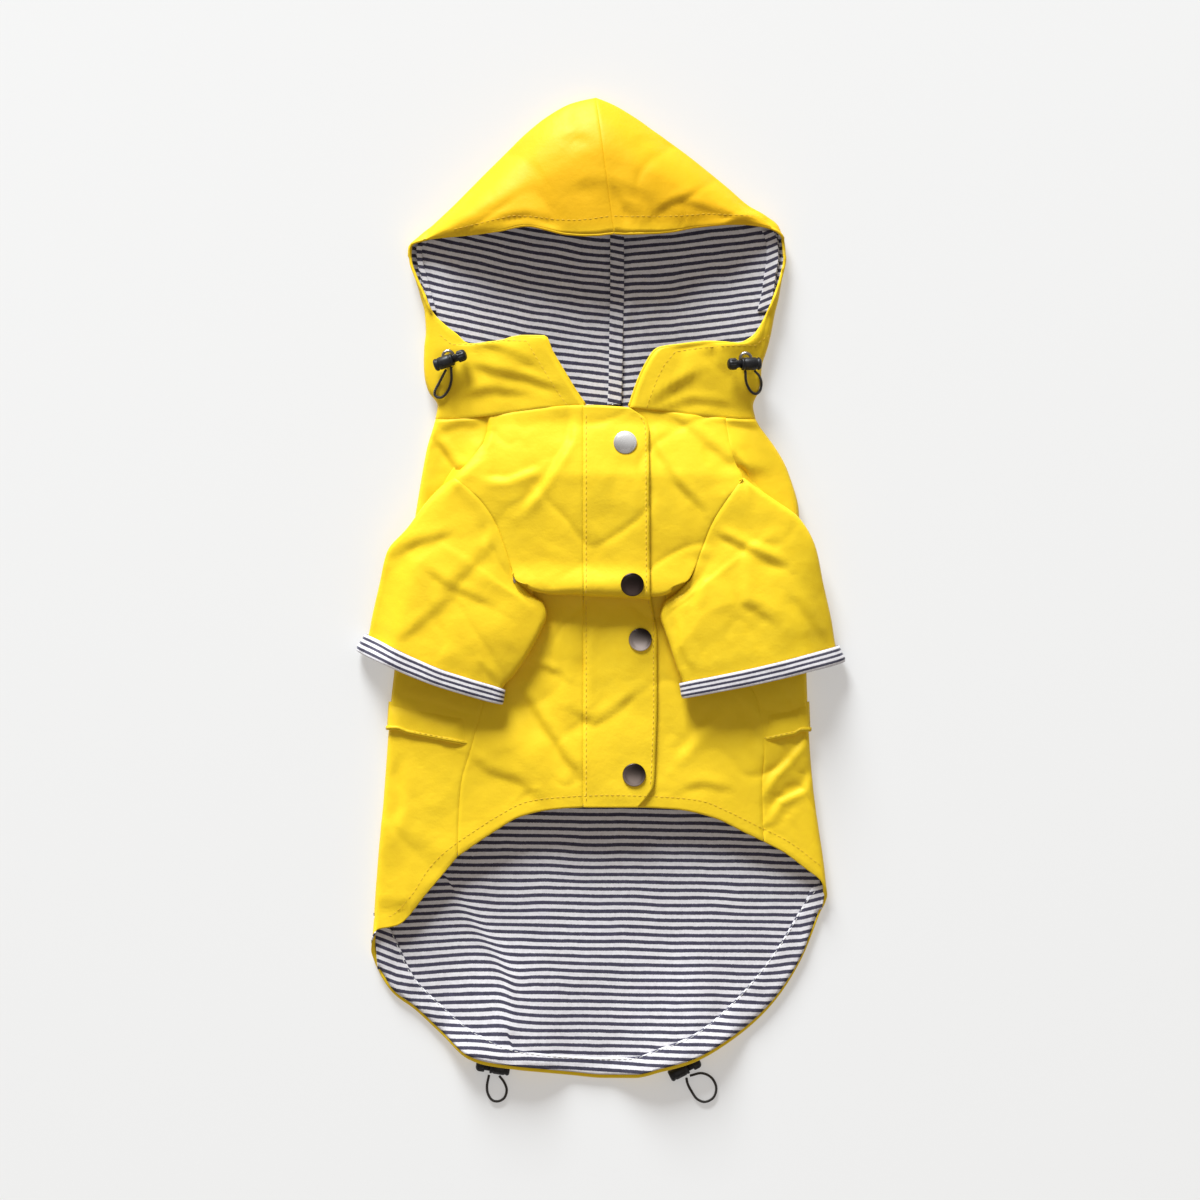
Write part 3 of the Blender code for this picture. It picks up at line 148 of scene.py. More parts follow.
# Hood halves: one section from the centre seam under the hood (seam), out to the side fold (side),
# and back over the top to the edge of the opening (edge), from the neck to the peak.
HOOD_LEFT = named_rows("seam_x seam_y side_x side_y edge_x edge_y edge_height turned", [
    (6.9, 94.3, -90.8, 94.3, -8.5, 101.8, 15.0, 1.0), (7.5, 102, -89.6, 101.5, -13.5, 109.0, 15.2, 1.0),
    (8.0, 110, -94.6, 109.5, -20.5, 120.5, 15.5, 1.0), (8.3, 118, -96.6, 116.5, -27.0, 131.5, 15.5, 1.0),
    (8.4, 125, -97.1, 122.0, -31.1, 139.4, 15.0, 1.0), (8.5, 130, -97.2, 126.0, -44.0, 139.6, 14.0, 1.0),
    (8.5, 135, -97.1, 130.0, -57.5, 136.9, 13.0, 1.0), (8.6, 140, -96.9, 134.5, -72.3, 135.4, 11.5, 1.0),
    (8.7, 146, -96.1, 141.5, -79.5, 140.5, 10.5, 1.0), (8.9, 155, -96.7, 152.5, -92.9, 152.5, 8.0, 0.95),
    (9.1, 163, -99.3, 162.0, -96.0, 162.0, 8.0, 0.7), (9.1, 173, -102.2, 172.5, -102.0, 172.5, 8.0, 0.3),
    (9.1, 183, -104.6, 182.5, -104.6, 182.5, 8.0, 0.1), (9.1, 190, -104.6, 190.0, -104.6, 190.0, 8.0, 0.3),
    (9.1, 196, -99.3, 195.2, -95.0, 192.5, 8.0, 0.9), (9.0, 202, -91.6, 201.6, -72.0, 195.0, 16.0, 1.0),
    (8.5, 211, -81.1, 211.5, -55.8, 197.2, 21.5, 1.0), (7.5, 221, -71.2, 221.4, -41.0, 199.9, 24.0, 1.0),
    (6.0, 231, -61.3, 231.3, -30.0, 198.0, 25.0, 1.0), (4.5, 241, -51.4, 241.2, -19.0, 195.5, 24.5, 1.0),
    (2.5, 251, -41.0, 251.1, -8.5, 194.7, 25.5, 1.0), (0.0, 259, -28.3, 261.0, -1.0, 194.9, 26.0, 1.0),
    (-1.8, 264.3, -15.0, 268.0, 4.0, 195.5, 26.0, 1.0), (-2.5, 266.9, -2.5, 270.9, 7.4, 195.8, 26.0, 1.0),
])
HOOD_RIGHT = named_rows("seam_x seam_y side_x side_y edge_x edge_y edge_height turned", [
    (6.9, 94.3, 85.2, 94.3, 15.7, 100.7, 15.0, 1.0), (7.5, 102, 83.8, 101.5, 18.0, 107.5, 15.2, 1.0),
    (8.0, 110, 86.9, 109.5, 21.5, 117.0, 15.5, 1.0), (8.3, 118, 88.2, 116.5, 25.5, 125.0, 15.5, 1.0),
    (8.4, 125, 88.5, 122.0, 31.6, 132.8, 15.0, 1.0), (8.5, 130, 89.3, 126.0, 44.8, 135.0, 14.0, 1.0),
    (8.5, 135, 90.4, 129.0, 60.0, 136.5, 13.0, 1.0), (8.6, 140, 92.0, 134.0, 75.6, 135.8, 11.5, 1.0),
    (8.7, 146, 93.6, 140.5, 83.4, 139.2, 10.0, 1.0), (8.9, 155, 95.9, 152.5, 92.0, 152.5, 8.0, 0.95),
    (9.1, 163, 98.3, 162.0, 96.5, 162.0, 8.0, 0.7), (9.1, 173, 99.9, 172.5, 99.8, 172.5, 8.0, 0.3),
    (9.1, 183, 101.5, 183.0, 101.5, 183.0, 8.0, 0.1), (9.1, 192, 100.9, 192.5, 100.9, 192.5, 8.0, 0.2),
    (9.1, 199.5, 97.9, 200.2, 96.0, 200.2, 8.0, 0.85), (9.0, 206, 90.0, 206.8, 79.5, 201.0, 12.0, 1.0),
    (8.5, 212, 81.7, 211.5, 66.0, 200.7, 17.0, 1.0), (7.5, 221, 70.1, 221.4, 52.0, 199.3, 19.0, 1.0),
    (6.0, 231, 58.0, 231.3, 40.0, 197.0, 22.0, 1.0), (4.5, 241, 45.4, 241.2, 30.0, 196.0, 24.0, 1.0),
    (2.5, 251, 31.6, 251.1, 21.0, 195.7, 25.5, 1.0), (0.0, 259, 17.3, 261.0, 13.5, 195.5, 26.0, 1.0),
    (-1.8, 264.3, 6.0, 267.6, 10.0, 195.7, 26.0, 1.0), (-2.5, 266.9, -2.5, 270.9, 7.4, 195.8, 26.0, 1.0),
])
HOOD_LINED_ROWS = 17  # the lining shows in the opening and a little under the crown
HOOD_FACED_ROWS = (9, 15)  # the facing shows where the opening's edge lies at the side fold

# Sleeves: flattened rings from the armhole seam to the end inside the cuff. Outer and inner are the
# two side folds, radius is half the height there, and loft is the extra height between them.
SLEEVE_LEFT = named_rows("outer_x outer_y inner_x inner_y radius loft armhole_share", [
    (-86.0, 58.3, -39.0, -1.5, 2.6, 1.2, 0.5), (-94.0, 50.5, -31.0, -7.3, 2.6, 2.2, 0.2),
    (-106.0, 34.5, -29.4, -13.5, 2.6, 3.5, 0.0), (-117.2, 21.5, -32.6, -22.0, 2.6, 4.2, 0.0),
    (-121.4, 4.0, -39.0, -34.0, 2.6, 4.6, 0.0), (-125.8, -15.5, -47.5, -46.5, 2.6, 4.4, 0.0),
    (-127.6, -24.6, -53.8, -54.0, 2.5, 4.0, 0.0), (-132.7, -33.1, -55.0, -61.8, 2.5, 4.0, 0.0),
])
SLEEVE_RIGHT = named_rows("outer_x outer_y inner_x inner_y radius loft armhole_share", [
    (85.0, 57.0, 41.8, -1.0, 2.6, 1.2, 0.5), (96.0, 49.5, 34.4, -7.3, 2.6, 2.2, 0.2),
    (109.0, 40.0, 32.9, -14.0, 2.6, 3.5, 0.0), (118.0, 24.0, 35.2, -22.5, 2.6, 4.2, 0.0),
    (122.5, 3.0, 38.6, -32.5, 2.6, 4.6, 0.0), (127.0, -17.0, 42.1, -43.5, 2.6, 4.4, 0.0),
    (129.3, -30.8, 44.9, -50.6, 2.5, 4.0, 0.0), (133.1, -38.9, 46.2, -58.5, 2.5, 4.0, 0.0),
])

# Right edge of the placket, from the neck to the hem.
PLACKET = named_rows("y right", [
    (101, 15.7), (94, 25.2), (87, 26.7), (0, 27.2), (-8, 28.8), (-16, 31.1), (-60, 31.1), (-91, 30.2),
    (-107, 29.3), (-113, 26.0), (-119, 20.6),
])

# Pocket flaps on the side panels: upper and lower edge at each X.
FLAP_LEFT = named_rows("x upper lower", [(-118, -60.5, -76.0), (-102, -63.0, -79.6), (-72.5, -68.2, -85.3)])
FLAP_RIGHT = named_rows("x upper lower", [(89.0, -66.3, -83.3), (101.5, -63.7, -80.6), (116, -60.8, -77.3)])

SNAPS = named_rows("x y", [(13.5, 81.1), (17.4, 3.2), (21.8, -27.0), (18.4, -101.2)])

# Cord locks: middle of the barrel, and at the hem the direction from barrel to plunger in degrees.
HOOD_LOCKS = named_rows("x y", [(-86.0, 125.2), (82.6, 124.4)])
HEM_LOCKS = named_rows("x y heading", [(-55.3, -262.6, 172.0), (42.9, -264.6, 27.0)])

# Loops of drawcord from lock back to lock: each point's height is above what lies under it.
CORDS = {
    "hood_left": [
        (-84.9, 121.0, 4.4), (-88.3, 114.7, 0.3), (-91.0, 109.4, 0.3), (-90.4, 106.6, 0.3),
        (-87.0, 106.2, 0.3), (-83.6, 110.0, 0.3), (-81.9, 115.6, 0.4), (-82.0, 122.5, 4.0),
    ],
    "hood_right": [
        (79.4, 120.5, 4.6), (80.0, 114.4, 0.6), (82.4, 109.6, 0.3), (85.2, 108.0, 0.3), (87.6, 109.8, 0.3),
        (88.4, 114.2, 0.3), (87.0, 118.0, 2.4), (84.6, 120.5, 4.6),
    ],
    "hem_left": [
        (-61.3, -266.4, 1.7), (-62.4, -272.0, 0.3), (-62.0, -276.5, 0.2), (-59.6, -280.2, 0.2),
        (-56.0, -280.8, 0.2), (-52.8, -278.8, 0.2), (-51.6, -274.6, 0.2), (-53.0, -270.4, 0.5),
        (-55.6, -266.9, 1.9),
    ],
    "hem_right": [
        (49.2, -266.7, 1.7), (55.6, -265.4, 0.3), (60.9, -267.8, 0.2), (63.6, -273.1, 0.2),
        (62.2, -278.6, 0.2), (57.6, -281.2, 0.2), (53.0, -279.5, 0.2), (49.8, -275.0, 0.2),
        (47.9, -271.2, 0.4), (47.2, -268.0, 1.6),
    ],
}


# ---------------------------------------------------------------- small maths
def ease(value):
    """0 below 0, 1 above 1, and a smooth step between."""
    value = min(max(value, 0.0), 1.0)
    return value * value * (3.0 - 2.0 * value)


def mix(first, second, share):
    return first + (second - first) * share


def cubic(t, step, start, leave, end, arrive):
    """A smooth value between start and end, with the given slopes there."""
    return ((2 * t**3 - 3 * t**2 + 1) * start + (t**3 - 2 * t**2 + t) * step * leave
            + (3 * t**2 - 2 * t**3) * end + (t**3 - t**2) * step * arrive)


def through(table, key, column, value):
    """The column's value on a smooth curve through the table's rows, held level past its ends."""
    rows = sorted(table, key=lambda row: getattr(row, key))
    keys = [getattr(row, key) for row in rows]
    values = [getattr(row, column) for row in rows]
    value = min(max(value, keys[0]), keys[-1])
    index = min(max(int(np.searchsorted(keys, value)) - 1, 0), len(keys) - 2)
    slopes = [(b - a) / (kb - ka) for a, b, ka, kb in zip(values, values[1:], keys, keys[1:])]

    def tangent(at):
        if at == 0 or at == len(keys) - 1:
            return slopes[min(at, len(slopes) - 1)]
        before, after = slopes[at - 1], slopes[at]
        return 0.0 if before * after <= 0 else 2 * before * after / (before + after)

    step = keys[index + 1] - keys[index]
    t = (value - keys[index]) / step
    return cubic(t, step, values[index], tangent(index), values[index + 1], tangent(index + 1))


# ---------------------------------------------------------------- heights of the body
def side_left(y):
    return through(BODY_ROWS, "y", "left", y)


def side_right(y):
    return through(BODY_ROWS, "y", "right", y)


BODY_ROUND = 2.2  # how soon the body reaches its height, inwards from its sides
SLEEVE_DROOP = (3.0, 14.0)  # a sleeve droops from this far beyond the body's side, over this run


def body_top(x, y):
    """Outside height of the body's upper cloth, without creases or the chest's lift."""
    left = side_left(y) + FOLD_RADIUS
    right = side_right(y) - FOLD_RADIUS
    inward = (x - left) / -left if x < 0 else (right - x) / right
    inward = min(max(inward, 0.0), 1.0)
    rise = 1.0 - (1.0 - inward) ** BODY_ROUND
    return 2 * FOLD_RADIUS + (through(BODY_ROWS, "y", "height", y) - 2 * FOLD_RADIUS) * rise


def chest_lift(y):
    return CHEST_LIFT * ease((CHEST_LIFT_START - y) / CHEST_LIFT_RUN)


def hem_lift(x, y):
    """How far the hem is raised over the two cord locks that lie under it."""
    lift = 0.0
    for lock in HEM_LOCKS:
        heading = math.radians(lock.heading)
        along = Vector((math.cos(heading), math.sin(heading)))
        offset = Vector((x - lock.x, y - lock.y)) - along * (LOCK_LENGTH / 4)
        share = min(max(offset.dot(along), -LOCK_LENGTH), LOCK_LENGTH)
        away = max((offset - along * share).length - HEM_LIFT_CORE, 0.0)
        lift = max(lift, HEM_LIFT * ease(1.0 - away / HEM_LIFT_REACH))
    return lift


def sleeve_floor(x, y):
    """Height of a sleeve's underside: on the body, and drooping past the body's side."""
    beyond = max(side_left(y) - x, x - side_right(y))
    start, run = SLEEVE_DROOP
    return mix(body_top(x, y) + SLEEVE_CLEARANCE, SLEEVE_FLOOR, ease((beyond - start) / run))


def outline_normals(points, left_hand):
    """Outward direction at each point of an outline, on its left or its right hand."""
    normals = []
    for index, point in enumerate(points):
        run = Vector((0, 0))
        if index > 0:
            run += (point - points[index - 1]).normalized()
        if index < len(points) - 1:
            run += (points[index + 1] - point).normalized()
        run.normalize()
        normals.append(Vector((-run.y, run.x)) if left_hand else Vector((run.y, -run.x)))
    return normals


def smooth_route(points, spacing):
    """Points at an even spacing on a Catmull-Rom curve through the route."""
    points = [Vector(p) for p in points]
    ends = [points[0] * 2 - points[1]] + points + [points[-1] * 2 - points[-2]]
    fine = []
    for p0, p1, p2, p3 in zip(ends, ends[1:], ends[2:], ends[3:]):
        for t in np.linspace(0, 1, 24, endpoint=False):
            fine.append(
                0.5 * (2 * p1 + (p2 - p0) * t + (2 * p0 - 5 * p1 + 4 * p2 - p3) * t**2
                       + (3 * p1 - p0 - 3 * p2 + p3) * t**3)
            )
    fine.append(points[-1])
    lengths = np.cumsum([0.0] + [(b - a).length for a, b in zip(fine, fine[1:])])
    wanted = np.linspace(0, lengths[-1], max(int(lengths[-1] / spacing) + 1, 4))
    return [
        Vector([np.interp(at, lengths, [p[axis] for p in fine]) for axis in range(3)])
        for at in wanted
    ]


def top_height(trees, x, y, reach):
    """Highest point of the surfaces within a reach of a place, or the table where there is none."""
    highest = 0.0
    turns = [turn * math.pi / 8 for turn in range(16)]
    rim = [(math.cos(turn) * reach, math.sin(turn) * reach) for turn in turns]
    for tree in trees:
        for away_x, away_y in rim + [(0.0, 0.0)]:
            start = Vector(((x + away_x) * MM, (y + away_y) * MM, 1.0))
            hit = tree.ray_cast(start, DOWN)[0]
            if hit is not None:
                highest = max(highest, hit.z / MM)
    return highest


# ---------------------------------------------------------------- finer cloth grids
FINE_STEP = 1.5


def smooth_rows(points, keys, wanted):
    """Rows of points on smooth curves through the given rows, without overshoot in any coordinate."""
    span = np.diff(keys).reshape(-1, 1, 1)
    slope = np.diff(points, axis=0) / span
    tangent = np.zeros_like(points)
    tangent[0], tangent[-1] = slope[0], slope[-1]
    before, after = slope[:-1], slope[1:]
    near, far = 2 * span[1:] + span[:-1], span[1:] + 2 * span[:-1]
    turning = before * after <= 0
    below = np.where(turning, 1.0, near * after + far * before)
    tangent[1:-1] = np.where(turning, 0.0, (near + far) * before * after / below)
    index = np.clip(np.searchsorted(keys, wanted, side="right") - 1, 0, len(keys) - 2)
    step = span[index]
    t = ((wanted - keys[index]) / np.diff(keys)[index]).reshape(-1, 1, 1)
    return cubic(t, step, points[index], tangent[index], points[index + 1], tangent[index + 1])


def finer(grid, step=FINE_STEP, ring=False):
    """The grid with even, small cells. A ring's columns join, and its seam column isn't repeated."""
    grid = np.asarray(grid, float)
    for axis in (0, 1):
        rows = np.moveaxis(grid, axis, 0)
        wrapped = ring and axis == 1
        if wrapped:
            rows = np.concatenate([rows[-3:], rows, rows[:4]])
        lengths = np.linalg.norm(np.diff(rows, axis=0), axis=2).mean(axis=1)
        keys = np.concatenate([[0.0], np.cumsum(np.maximum(lengths, 0.01))])
        cells = range(3, len(lengths) - 3) if wrapped else range(len(lengths))
        wanted = [
            np.linspace(keys[cell], keys[cell + 1], max(1, round(lengths[cell] / step)), endpoint=False)
            for cell in cells
        ]
        wanted = np.concatenate(wanted + ([] if wrapped else [keys[-1:]]))
        grid = np.moveaxis(smooth_rows(rows, keys, wanted), 0, axis)
    return grid


def directions(grid, ring=False):
    """Surface direction at each point of a grid, on the side where rows cross columns."""
    down = np.gradient(grid, axis=0)
    if ring:
        across = (np.roll(grid, -1, axis=1) - np.roll(grid, 1, axis=1)) / 2
    else:
        across = np.gradient(grid, axis=1)
    normals = np.cross(down, across)
    return normals / np.maximum(np.linalg.norm(normals, axis=2, keepdims=True), 1e-9)


def outward(grid, normals, ring=False):
    """The directions turned to the outside: up for an open grid, away from the middle for a tube."""
    if ring:
        middle = grid.mean(axis=1, keepdims=True)
        return normals * np.sign(np.sum(normals * (grid - middle)))
    return normals * np.sign(normals[..., 2].sum() or 1.0)


# ---------------------------------------------------------------- creases and uneven cloth
LATTICE_WRAP = 63  # cells of uneven values before they repeat
LATTICE_START = (31.3, 31.7)  # the coat's origin lies near the middle of the cells
TRIANGLE_SKEW = 0.366  # turns square cells into even triangles


def lattice(x, y, size, seed):
    """Smooth uneven values from -1 to 1 that vary over that size in millimetres."""
    values = np.random.default_rng(seed).uniform(-1, 1, (LATTICE_WRAP + 1, LATTICE_WRAP + 1))
    u, v = np.asarray(x) / size + LATTICE_START[0], np.asarray(y) / size + LATTICE_START[1]
    i, j = np.floor(u).astype(int), np.floor(v).astype(int)
    s, t = u - i, v - j
    s, t = s * s * s * (s * (6 * s - 15) + 10), t * t * t * (t * (6 * t - 15) + 10)
    i, j = i % LATTICE_WRAP, j % LATTICE_WRAP
    low = values[i, j] * (1 - s) + values[i + 1, j] * s
    high = values[i, j + 1] * (1 - s) + values[i + 1, j + 1] * s
    return low * (1 - t) + high * t


def turned_lattice(x, y, size, seed, degrees, stretch):
    """The same, drawn out along a direction."""
    a = math.radians(degrees)
    along = x * math.cos(a) + y * math.sin(a)
    over = -x * math.sin(a) + y * math.cos(a)
    return lattice(along / stretch, over, size, seed)


NET_BEND = 0.55  # how far the net of triangles is bent, in its cells


def facets(x, y, size, seed, degrees, stretch):
    """Flat facets that meet in creases: uneven heights from -1 to 1 on a bent net of triangles."""
    values = np.random.default_rng(seed).uniform(-1, 1, (LATTICE_WRAP + 1, LATTICE_WRAP + 1))
    a = math.radians(degrees)
    u = (x * math.cos(a) + y * math.sin(a)) / (size * stretch)
    v = (-x * math.sin(a) + y * math.cos(a)) / size
    u, v = (u + NET_BEND * lattice(x, y, 1.4 * size, seed + 1) + LATTICE_START[0],
            v + NET_BEND * lattice(x, y, 1.4 * size, seed + 2) + LATTICE_START[1])
    skew = (u + v) * TRIANGLE_SKEW
    u, v = u + skew, v + skew
    i, j = np.floor(u).astype(int), np.floor(v).astype(int)
    s, t = u - i, v - j
    i, j = i % LATTICE_WRAP, j % LATTICE_WRAP
    low, far = values[i, j], values[i + 1, j + 1]
    first = low + (values[i + 1, j] - low) * s + (far - values[i + 1, j]) * t
    other = low + (far - values[i, j + 1]) * s + (values[i, j + 1] - low) * t
    return np.where(s >= t, first, other)


def beside(x, y, route):
    """(distance, side, share) of points from a route: side is -1 or 1, share runs along it."""
    route = np.asarray(route, float)
    runs = np.diff(route, axis=0)
    lengths = np.linalg.norm(runs, axis=1)
    total, start = lengths.sum(), 0.0
    best = np.full(np.shape(x), 1e9)
    side, share = np.ones(np.shape(x)), np.zeros(np.shape(x))
    for point, run, length in zip(route, runs, lengths):
        dx, dy = x - point[0], y - point[1]
        t = np.clip((dx * run[0] + dy * run[1]) / length**2, 0, 1)
        away = np.hypot(dx - t * run[0], dy - t * run[1])
        nearer = away < best
        best = np.where(nearer, away, best)
        side = np.where(nearer, np.where(run[0] * dy - run[1] * dx >= 0, 1.0, -1.0), side)
        share = np.where(nearer, (start + t * length) / total, share)
        start += length
    return best, side, share


# ---------------------------------------------------------------- back, its lining and hem facing
CHEST_SEAM_ROWS = [87, 79, 70, 62]
BACK_FLAT_ROWS = CHEST_SEAM_ROWS + [45, 20, 5, -27, -60, -87, -115]
SIDE_ROWS = CHEST_SEAM_ROWS + [45, 20, 5, -5, -27, -60, -87]
LAST_SEAM_ROW = -107  # the last row of the table before the arch
BACK_COLUMNS = [0, 0.03, 0.08, 0.14, 0.2, 0.235, 0.262, 0.29, 0.32, 0.37, 0.44, 0.51, 0.58, 0.64,
                0.68, 0.71, 0.74, 0.78, 0.84, 0.9, 0.96, 1.0]
NOSE_STEPS = 4
SIDE_SHARES = [0.25, 0.6, 1.0]
LINED_FROM = 10  # back lining starts at this row, well inside the belly's edge


SIDE_ENDS = (-178.0, -158.0)  # Y where the left and the right side end above the hem


def rows_to_arch(arch):
    """Y of the rows between the last seam row and the belly's edge."""
    return [LAST_SEAM_ROW, mix(LAST_SEAM_ROW, arch, 0.5), mix(LAST_SEAM_ROW, arch, 0.9), arch]


def back_flat_x(share, y):
    """X of a column under the coat. Past the sides' ends the columns run straight to the hem."""
    left, right = (max(y, end) for end in SIDE_ENDS)
    return mix(side_left(left) + FOLD_RADIUS, side_right(right) - FOLD_RADIUS, share)


def back_flat_column(share):
    """(x, y) down one column, from the neck to the hem."""
    x_end = back_flat_x(share, -200.0)
    hem = through(HEM, "x", "hem", x_end)
    stitch = through(HEM, "x", "stitch", x_end)
    ys = [94.0, 90.5] + BACK_FLAT_ROWS + [mix(-115.0, stitch, 0.5), stitch, hem + EDGE_SHOWN, hem]
    return [(back_flat_x(share, y), y) for y in ys]


def side_column(sign, share):
    """(x, y) down one column of the side's upper layer, from the neck to the arch."""
    side = "left" if sign < 0 else "right"

    def x_at(y):
        outer = through(BODY_ROWS, "y", side, y) - sign * FOLD_RADIUS
        return mix(outer, through(BODY_ROWS, "y", "seam_" + side, y) + sign * SEAM_GAP / 2, share)

    neck = through(NECK, "x", "y", x_at(95.0)) - SEAM_GAP
    arch = -165.0
    for _ in range(4):
        arch = through(ARCH, "x", "y", x_at(arch))
    ys = [neck, mix(neck, CHEST_SEAM_ROWS[0], 0.5)] + SIDE_ROWS + rows_to_arch(arch)
    return [(x_at(y), y) for y in ys]


def side_height(x, y, share):
    """Height of the side's upper layer: near the chest's seam it rises with the chest."""
    joined = chest_lift(y) * share**2 * ease((y - 66.0) / 6.0)
    return body_top(x, y) + joined


def back_grid(offset):
    """The back's points at an offset inside its outer face, rows by columns, left seam to right."""
    columns = []
    for sign in (-1, 1):
        flat = back_flat_column(0.0 if sign < 0 else 1.0)
        upper = side_column(sign, 0.0)
        tops = [
            [(x, y, side_height(x, y, share) - offset) for x, y in side_column(sign, share)]
            for share in reversed(SIDE_SHARES)
        ]
        nose = []
        for step in range(NOSE_STEPS, -1, -1):
            angle = -math.pi / 2 + math.pi * step / NOSE_STEPS
            share = step / NOSE_STEPS
            radius = FOLD_RADIUS - offset
            centres = [(mix(a[0], b[0], share), mix(a[1], b[1], share)) for a, b in zip(flat, upper)]
            nose.append([
                (x + sign * radius * math.cos(angle), y,
                 FOLD_RADIUS + radius * math.sin(angle) + hem_lift(x, y) * (1 - share))
                for x, y in centres
            ])
        half = tops + nose
        columns.append(half if sign < 0 else half[::-1])
    flats = [
        [(x, y, offset + hem_lift(x, y)) for x, y in back_flat_column(share)]
        for share in BACK_COLUMNS[1:-1]
    ]
    return np.swapaxes(np.array(columns[0] + flats + columns[1]), 0, 1)


def back_flat_grid(offset, first_row, last_row, shares):
    """The part under the coat alone, between two rows, for the pieces that lie on it."""
    rows = [[(x, y, offset + hem_lift(x, y)) for x, y in back_flat_column(s)] for s in shares]
    return np.swapaxes(np.array(rows), 0, 1)[first_row:last_row]


# ---------------------------------------------------------------- fronts and placket
CHEST_ROWS = CHEST_SEAM_ROWS + [50, 37, 24, 12, 5.5]
BELLY_ROWS = [-5, -27, -60, -87]
FOLD_STEPS = 4
PLACKET_RISE = 25.0  # the left front rises over this width to meet the placket
PLACKET_LAP = 1.4  # the right front starts this far under the placket
PLACKET_SAMPLE_X = 10.0  # the placket's rows are read down its middle


def front_profile(x):
    """(y, z, normal_y, normal_z) down the front at one X, round the fold where chest meets belly."""
    neck = through(NECK, "x", "y", x) - SEAM_GAP
    points = []
    for y in [neck, mix(neck, CHEST_SEAM_ROWS[0], 0.5)] + CHEST_ROWS:
        points.append((y, body_top(x, y) + chest_lift(y), 0.0, 1.0))
    tip = through(FOLD, "x", "y", x) + FOLD_TIP_RADIUS
    base = body_top(x, FOLD_CREASE_Y)
    top = base + CHEST_LIFT - FOLD_TIP_RADIUS
    for step in range(FOLD_STEPS + 1):
        angle = math.pi / 2 + math.pi * step / FOLD_STEPS
        across, up = math.cos(angle), math.sin(angle)
        points.append((tip + FOLD_TIP_RADIUS * across, top + FOLD_TIP_RADIUS * up, across, up))
    middle = base + FOLD_CREASE_RADIUS
    for step in range(FOLD_STEPS + 1):
        angle = math.pi / 2 - math.pi * step / FOLD_STEPS
        across, up = math.cos(angle), math.sin(angle)
        points.append((FOLD_CREASE_Y + FOLD_CREASE_RADIUS * across, middle + FOLD_CREASE_RADIUS * up,
                       -across, -up))
    arch = through(ARCH, "x", "y", x)
    for y in BELLY_ROWS + rows_to_arch(arch):
        points.append((y, body_top(x, y), 0.0, 1.0))
    return points


def front_outer_edge(sign):
    """X of a front's outer edge at each row: the seam, the armhole, the fold's end, then the seam."""
    side = "left" if sign < 0 else "right"
    arch = through(ARCH, "x", "y", through(BODY_ROWS, "y", "seam_" + side, -140.0))
    edge = [through(BODY_ROWS, "y", "seam_" + side, y) for y in [97.0, 92.0] + CHEST_SEAM_ROWS]
    edge += [through(ARMHOLE, "y", side, y) for y in CHEST_ROWS[len(CHEST_SEAM_ROWS):]]
    edge += [CHEST_FOLD_LEFT if sign < 0 else CHEST_FOLD_RIGHT] * (2 * FOLD_STEPS + 2)
    edge += [through(BODY_ROWS, "y", "seam_" + side, y) for y in BELLY_ROWS + rows_to_arch(arch)]
    return [x - sign * SEAM_GAP / 2 for x in edge]


def front_grid(columns_by_row, rise):
    """Front points for rows of X values. The rise moves points out from the cloth, by X."""
    rows = []
    for index, xs in enumerate(columns_by_row):
        row = []
        for x in xs:
            y, z, across, up = front_profile(x)[index]
            out = rise(x, index)
            row.append((x, y + out * across, z + out * up))
        rows.append(row)
    return np.array(rows)


def left_rise(x, _):
    """How far the left front stands out at X, to meet the placket."""
    return (CLOTH + LAYER_GAP) * ease((x - PLACKET_LEFT + PLACKET_RISE) / (PLACKET_RISE * 0.7))


# ---------------------------------------------------------------- sleeves and cuffs
SLEEVE_NOSE_STEPS = 4
SLEEVE_SHARES = [0, 0.2, 0.4, 0.57, 0.74, 1]
SLEEVE_ROUND = 2.4  # how soon the sleeve reaches its height, inwards from its folds
SEAM_FOLD_REACH = 0.8  # at the armhole the folds turn tighter
CUFF_FLARE = 0.08  # share of its own width


def sleeve_sections(table, side):
    """Per ring: its spots from the outer fold to the inner, both folds' directions and radii, loft."""
    sign = -1 if side == "left" else 1
    armhole = [Vector((getattr(row, side) + sign * SEAM_GAP / 2, row.y)) for row in ARMHOLE]
    outers = [armhole[0]] + [Vector((row.outer_x, row.outer_y)) for row in table]
    inners = [armhole[-1]] + [Vector((row.inner_x, row.inner_y)) for row in table]
    outer_normals = outline_normals(outers, sign > 0)
    inner_normals = outline_normals(inners, sign < 0)
    regular = next(row for row in table if row.armhole_share == 0)
    sections = []
    for index, (outer, inner) in enumerate(zip(outers, inners)):
        radii = [(chest_lift(p.y) - SLEEVE_CLEARANCE) / 2 for p in (outer, inner)]
        reach, loft, bow = SEAM_FOLD_REACH, 0.0, 1.0
        outward = (outer - armhole[1]).normalized(), (inner - armhole[-2]).normalized()
        if index:
            row = table[index - 1]
            radii, loft, bow = [row.radius, row.radius], row.loft, row.armhole_share
            reach = row.radius
            outward = (outer - inner).normalized(), (inner - outer).normalized()
        normals = [(across + path).normalized()
                   for across, path in zip(outward, (outer_normals[index], inner_normals[index]))]
        outer = outer - normals[0] * reach
        inner = inner - normals[1] * reach
        straight = (Vector((regular.outer_x, regular.outer_y)),
                    Vector((regular.inner_x, regular.inner_y)))
        spots = [outer.lerp(inner, share) for share in SLEEVE_SHARES]
        if bow:
            for at in range(1, len(spots) - 1):
                spots[at] = straight[0].lerp(straight[1], SLEEVE_SHARES[at]).lerp(armhole[at], bow)
        sections.append((spots, normals, reach, radii, loft))
    return sections


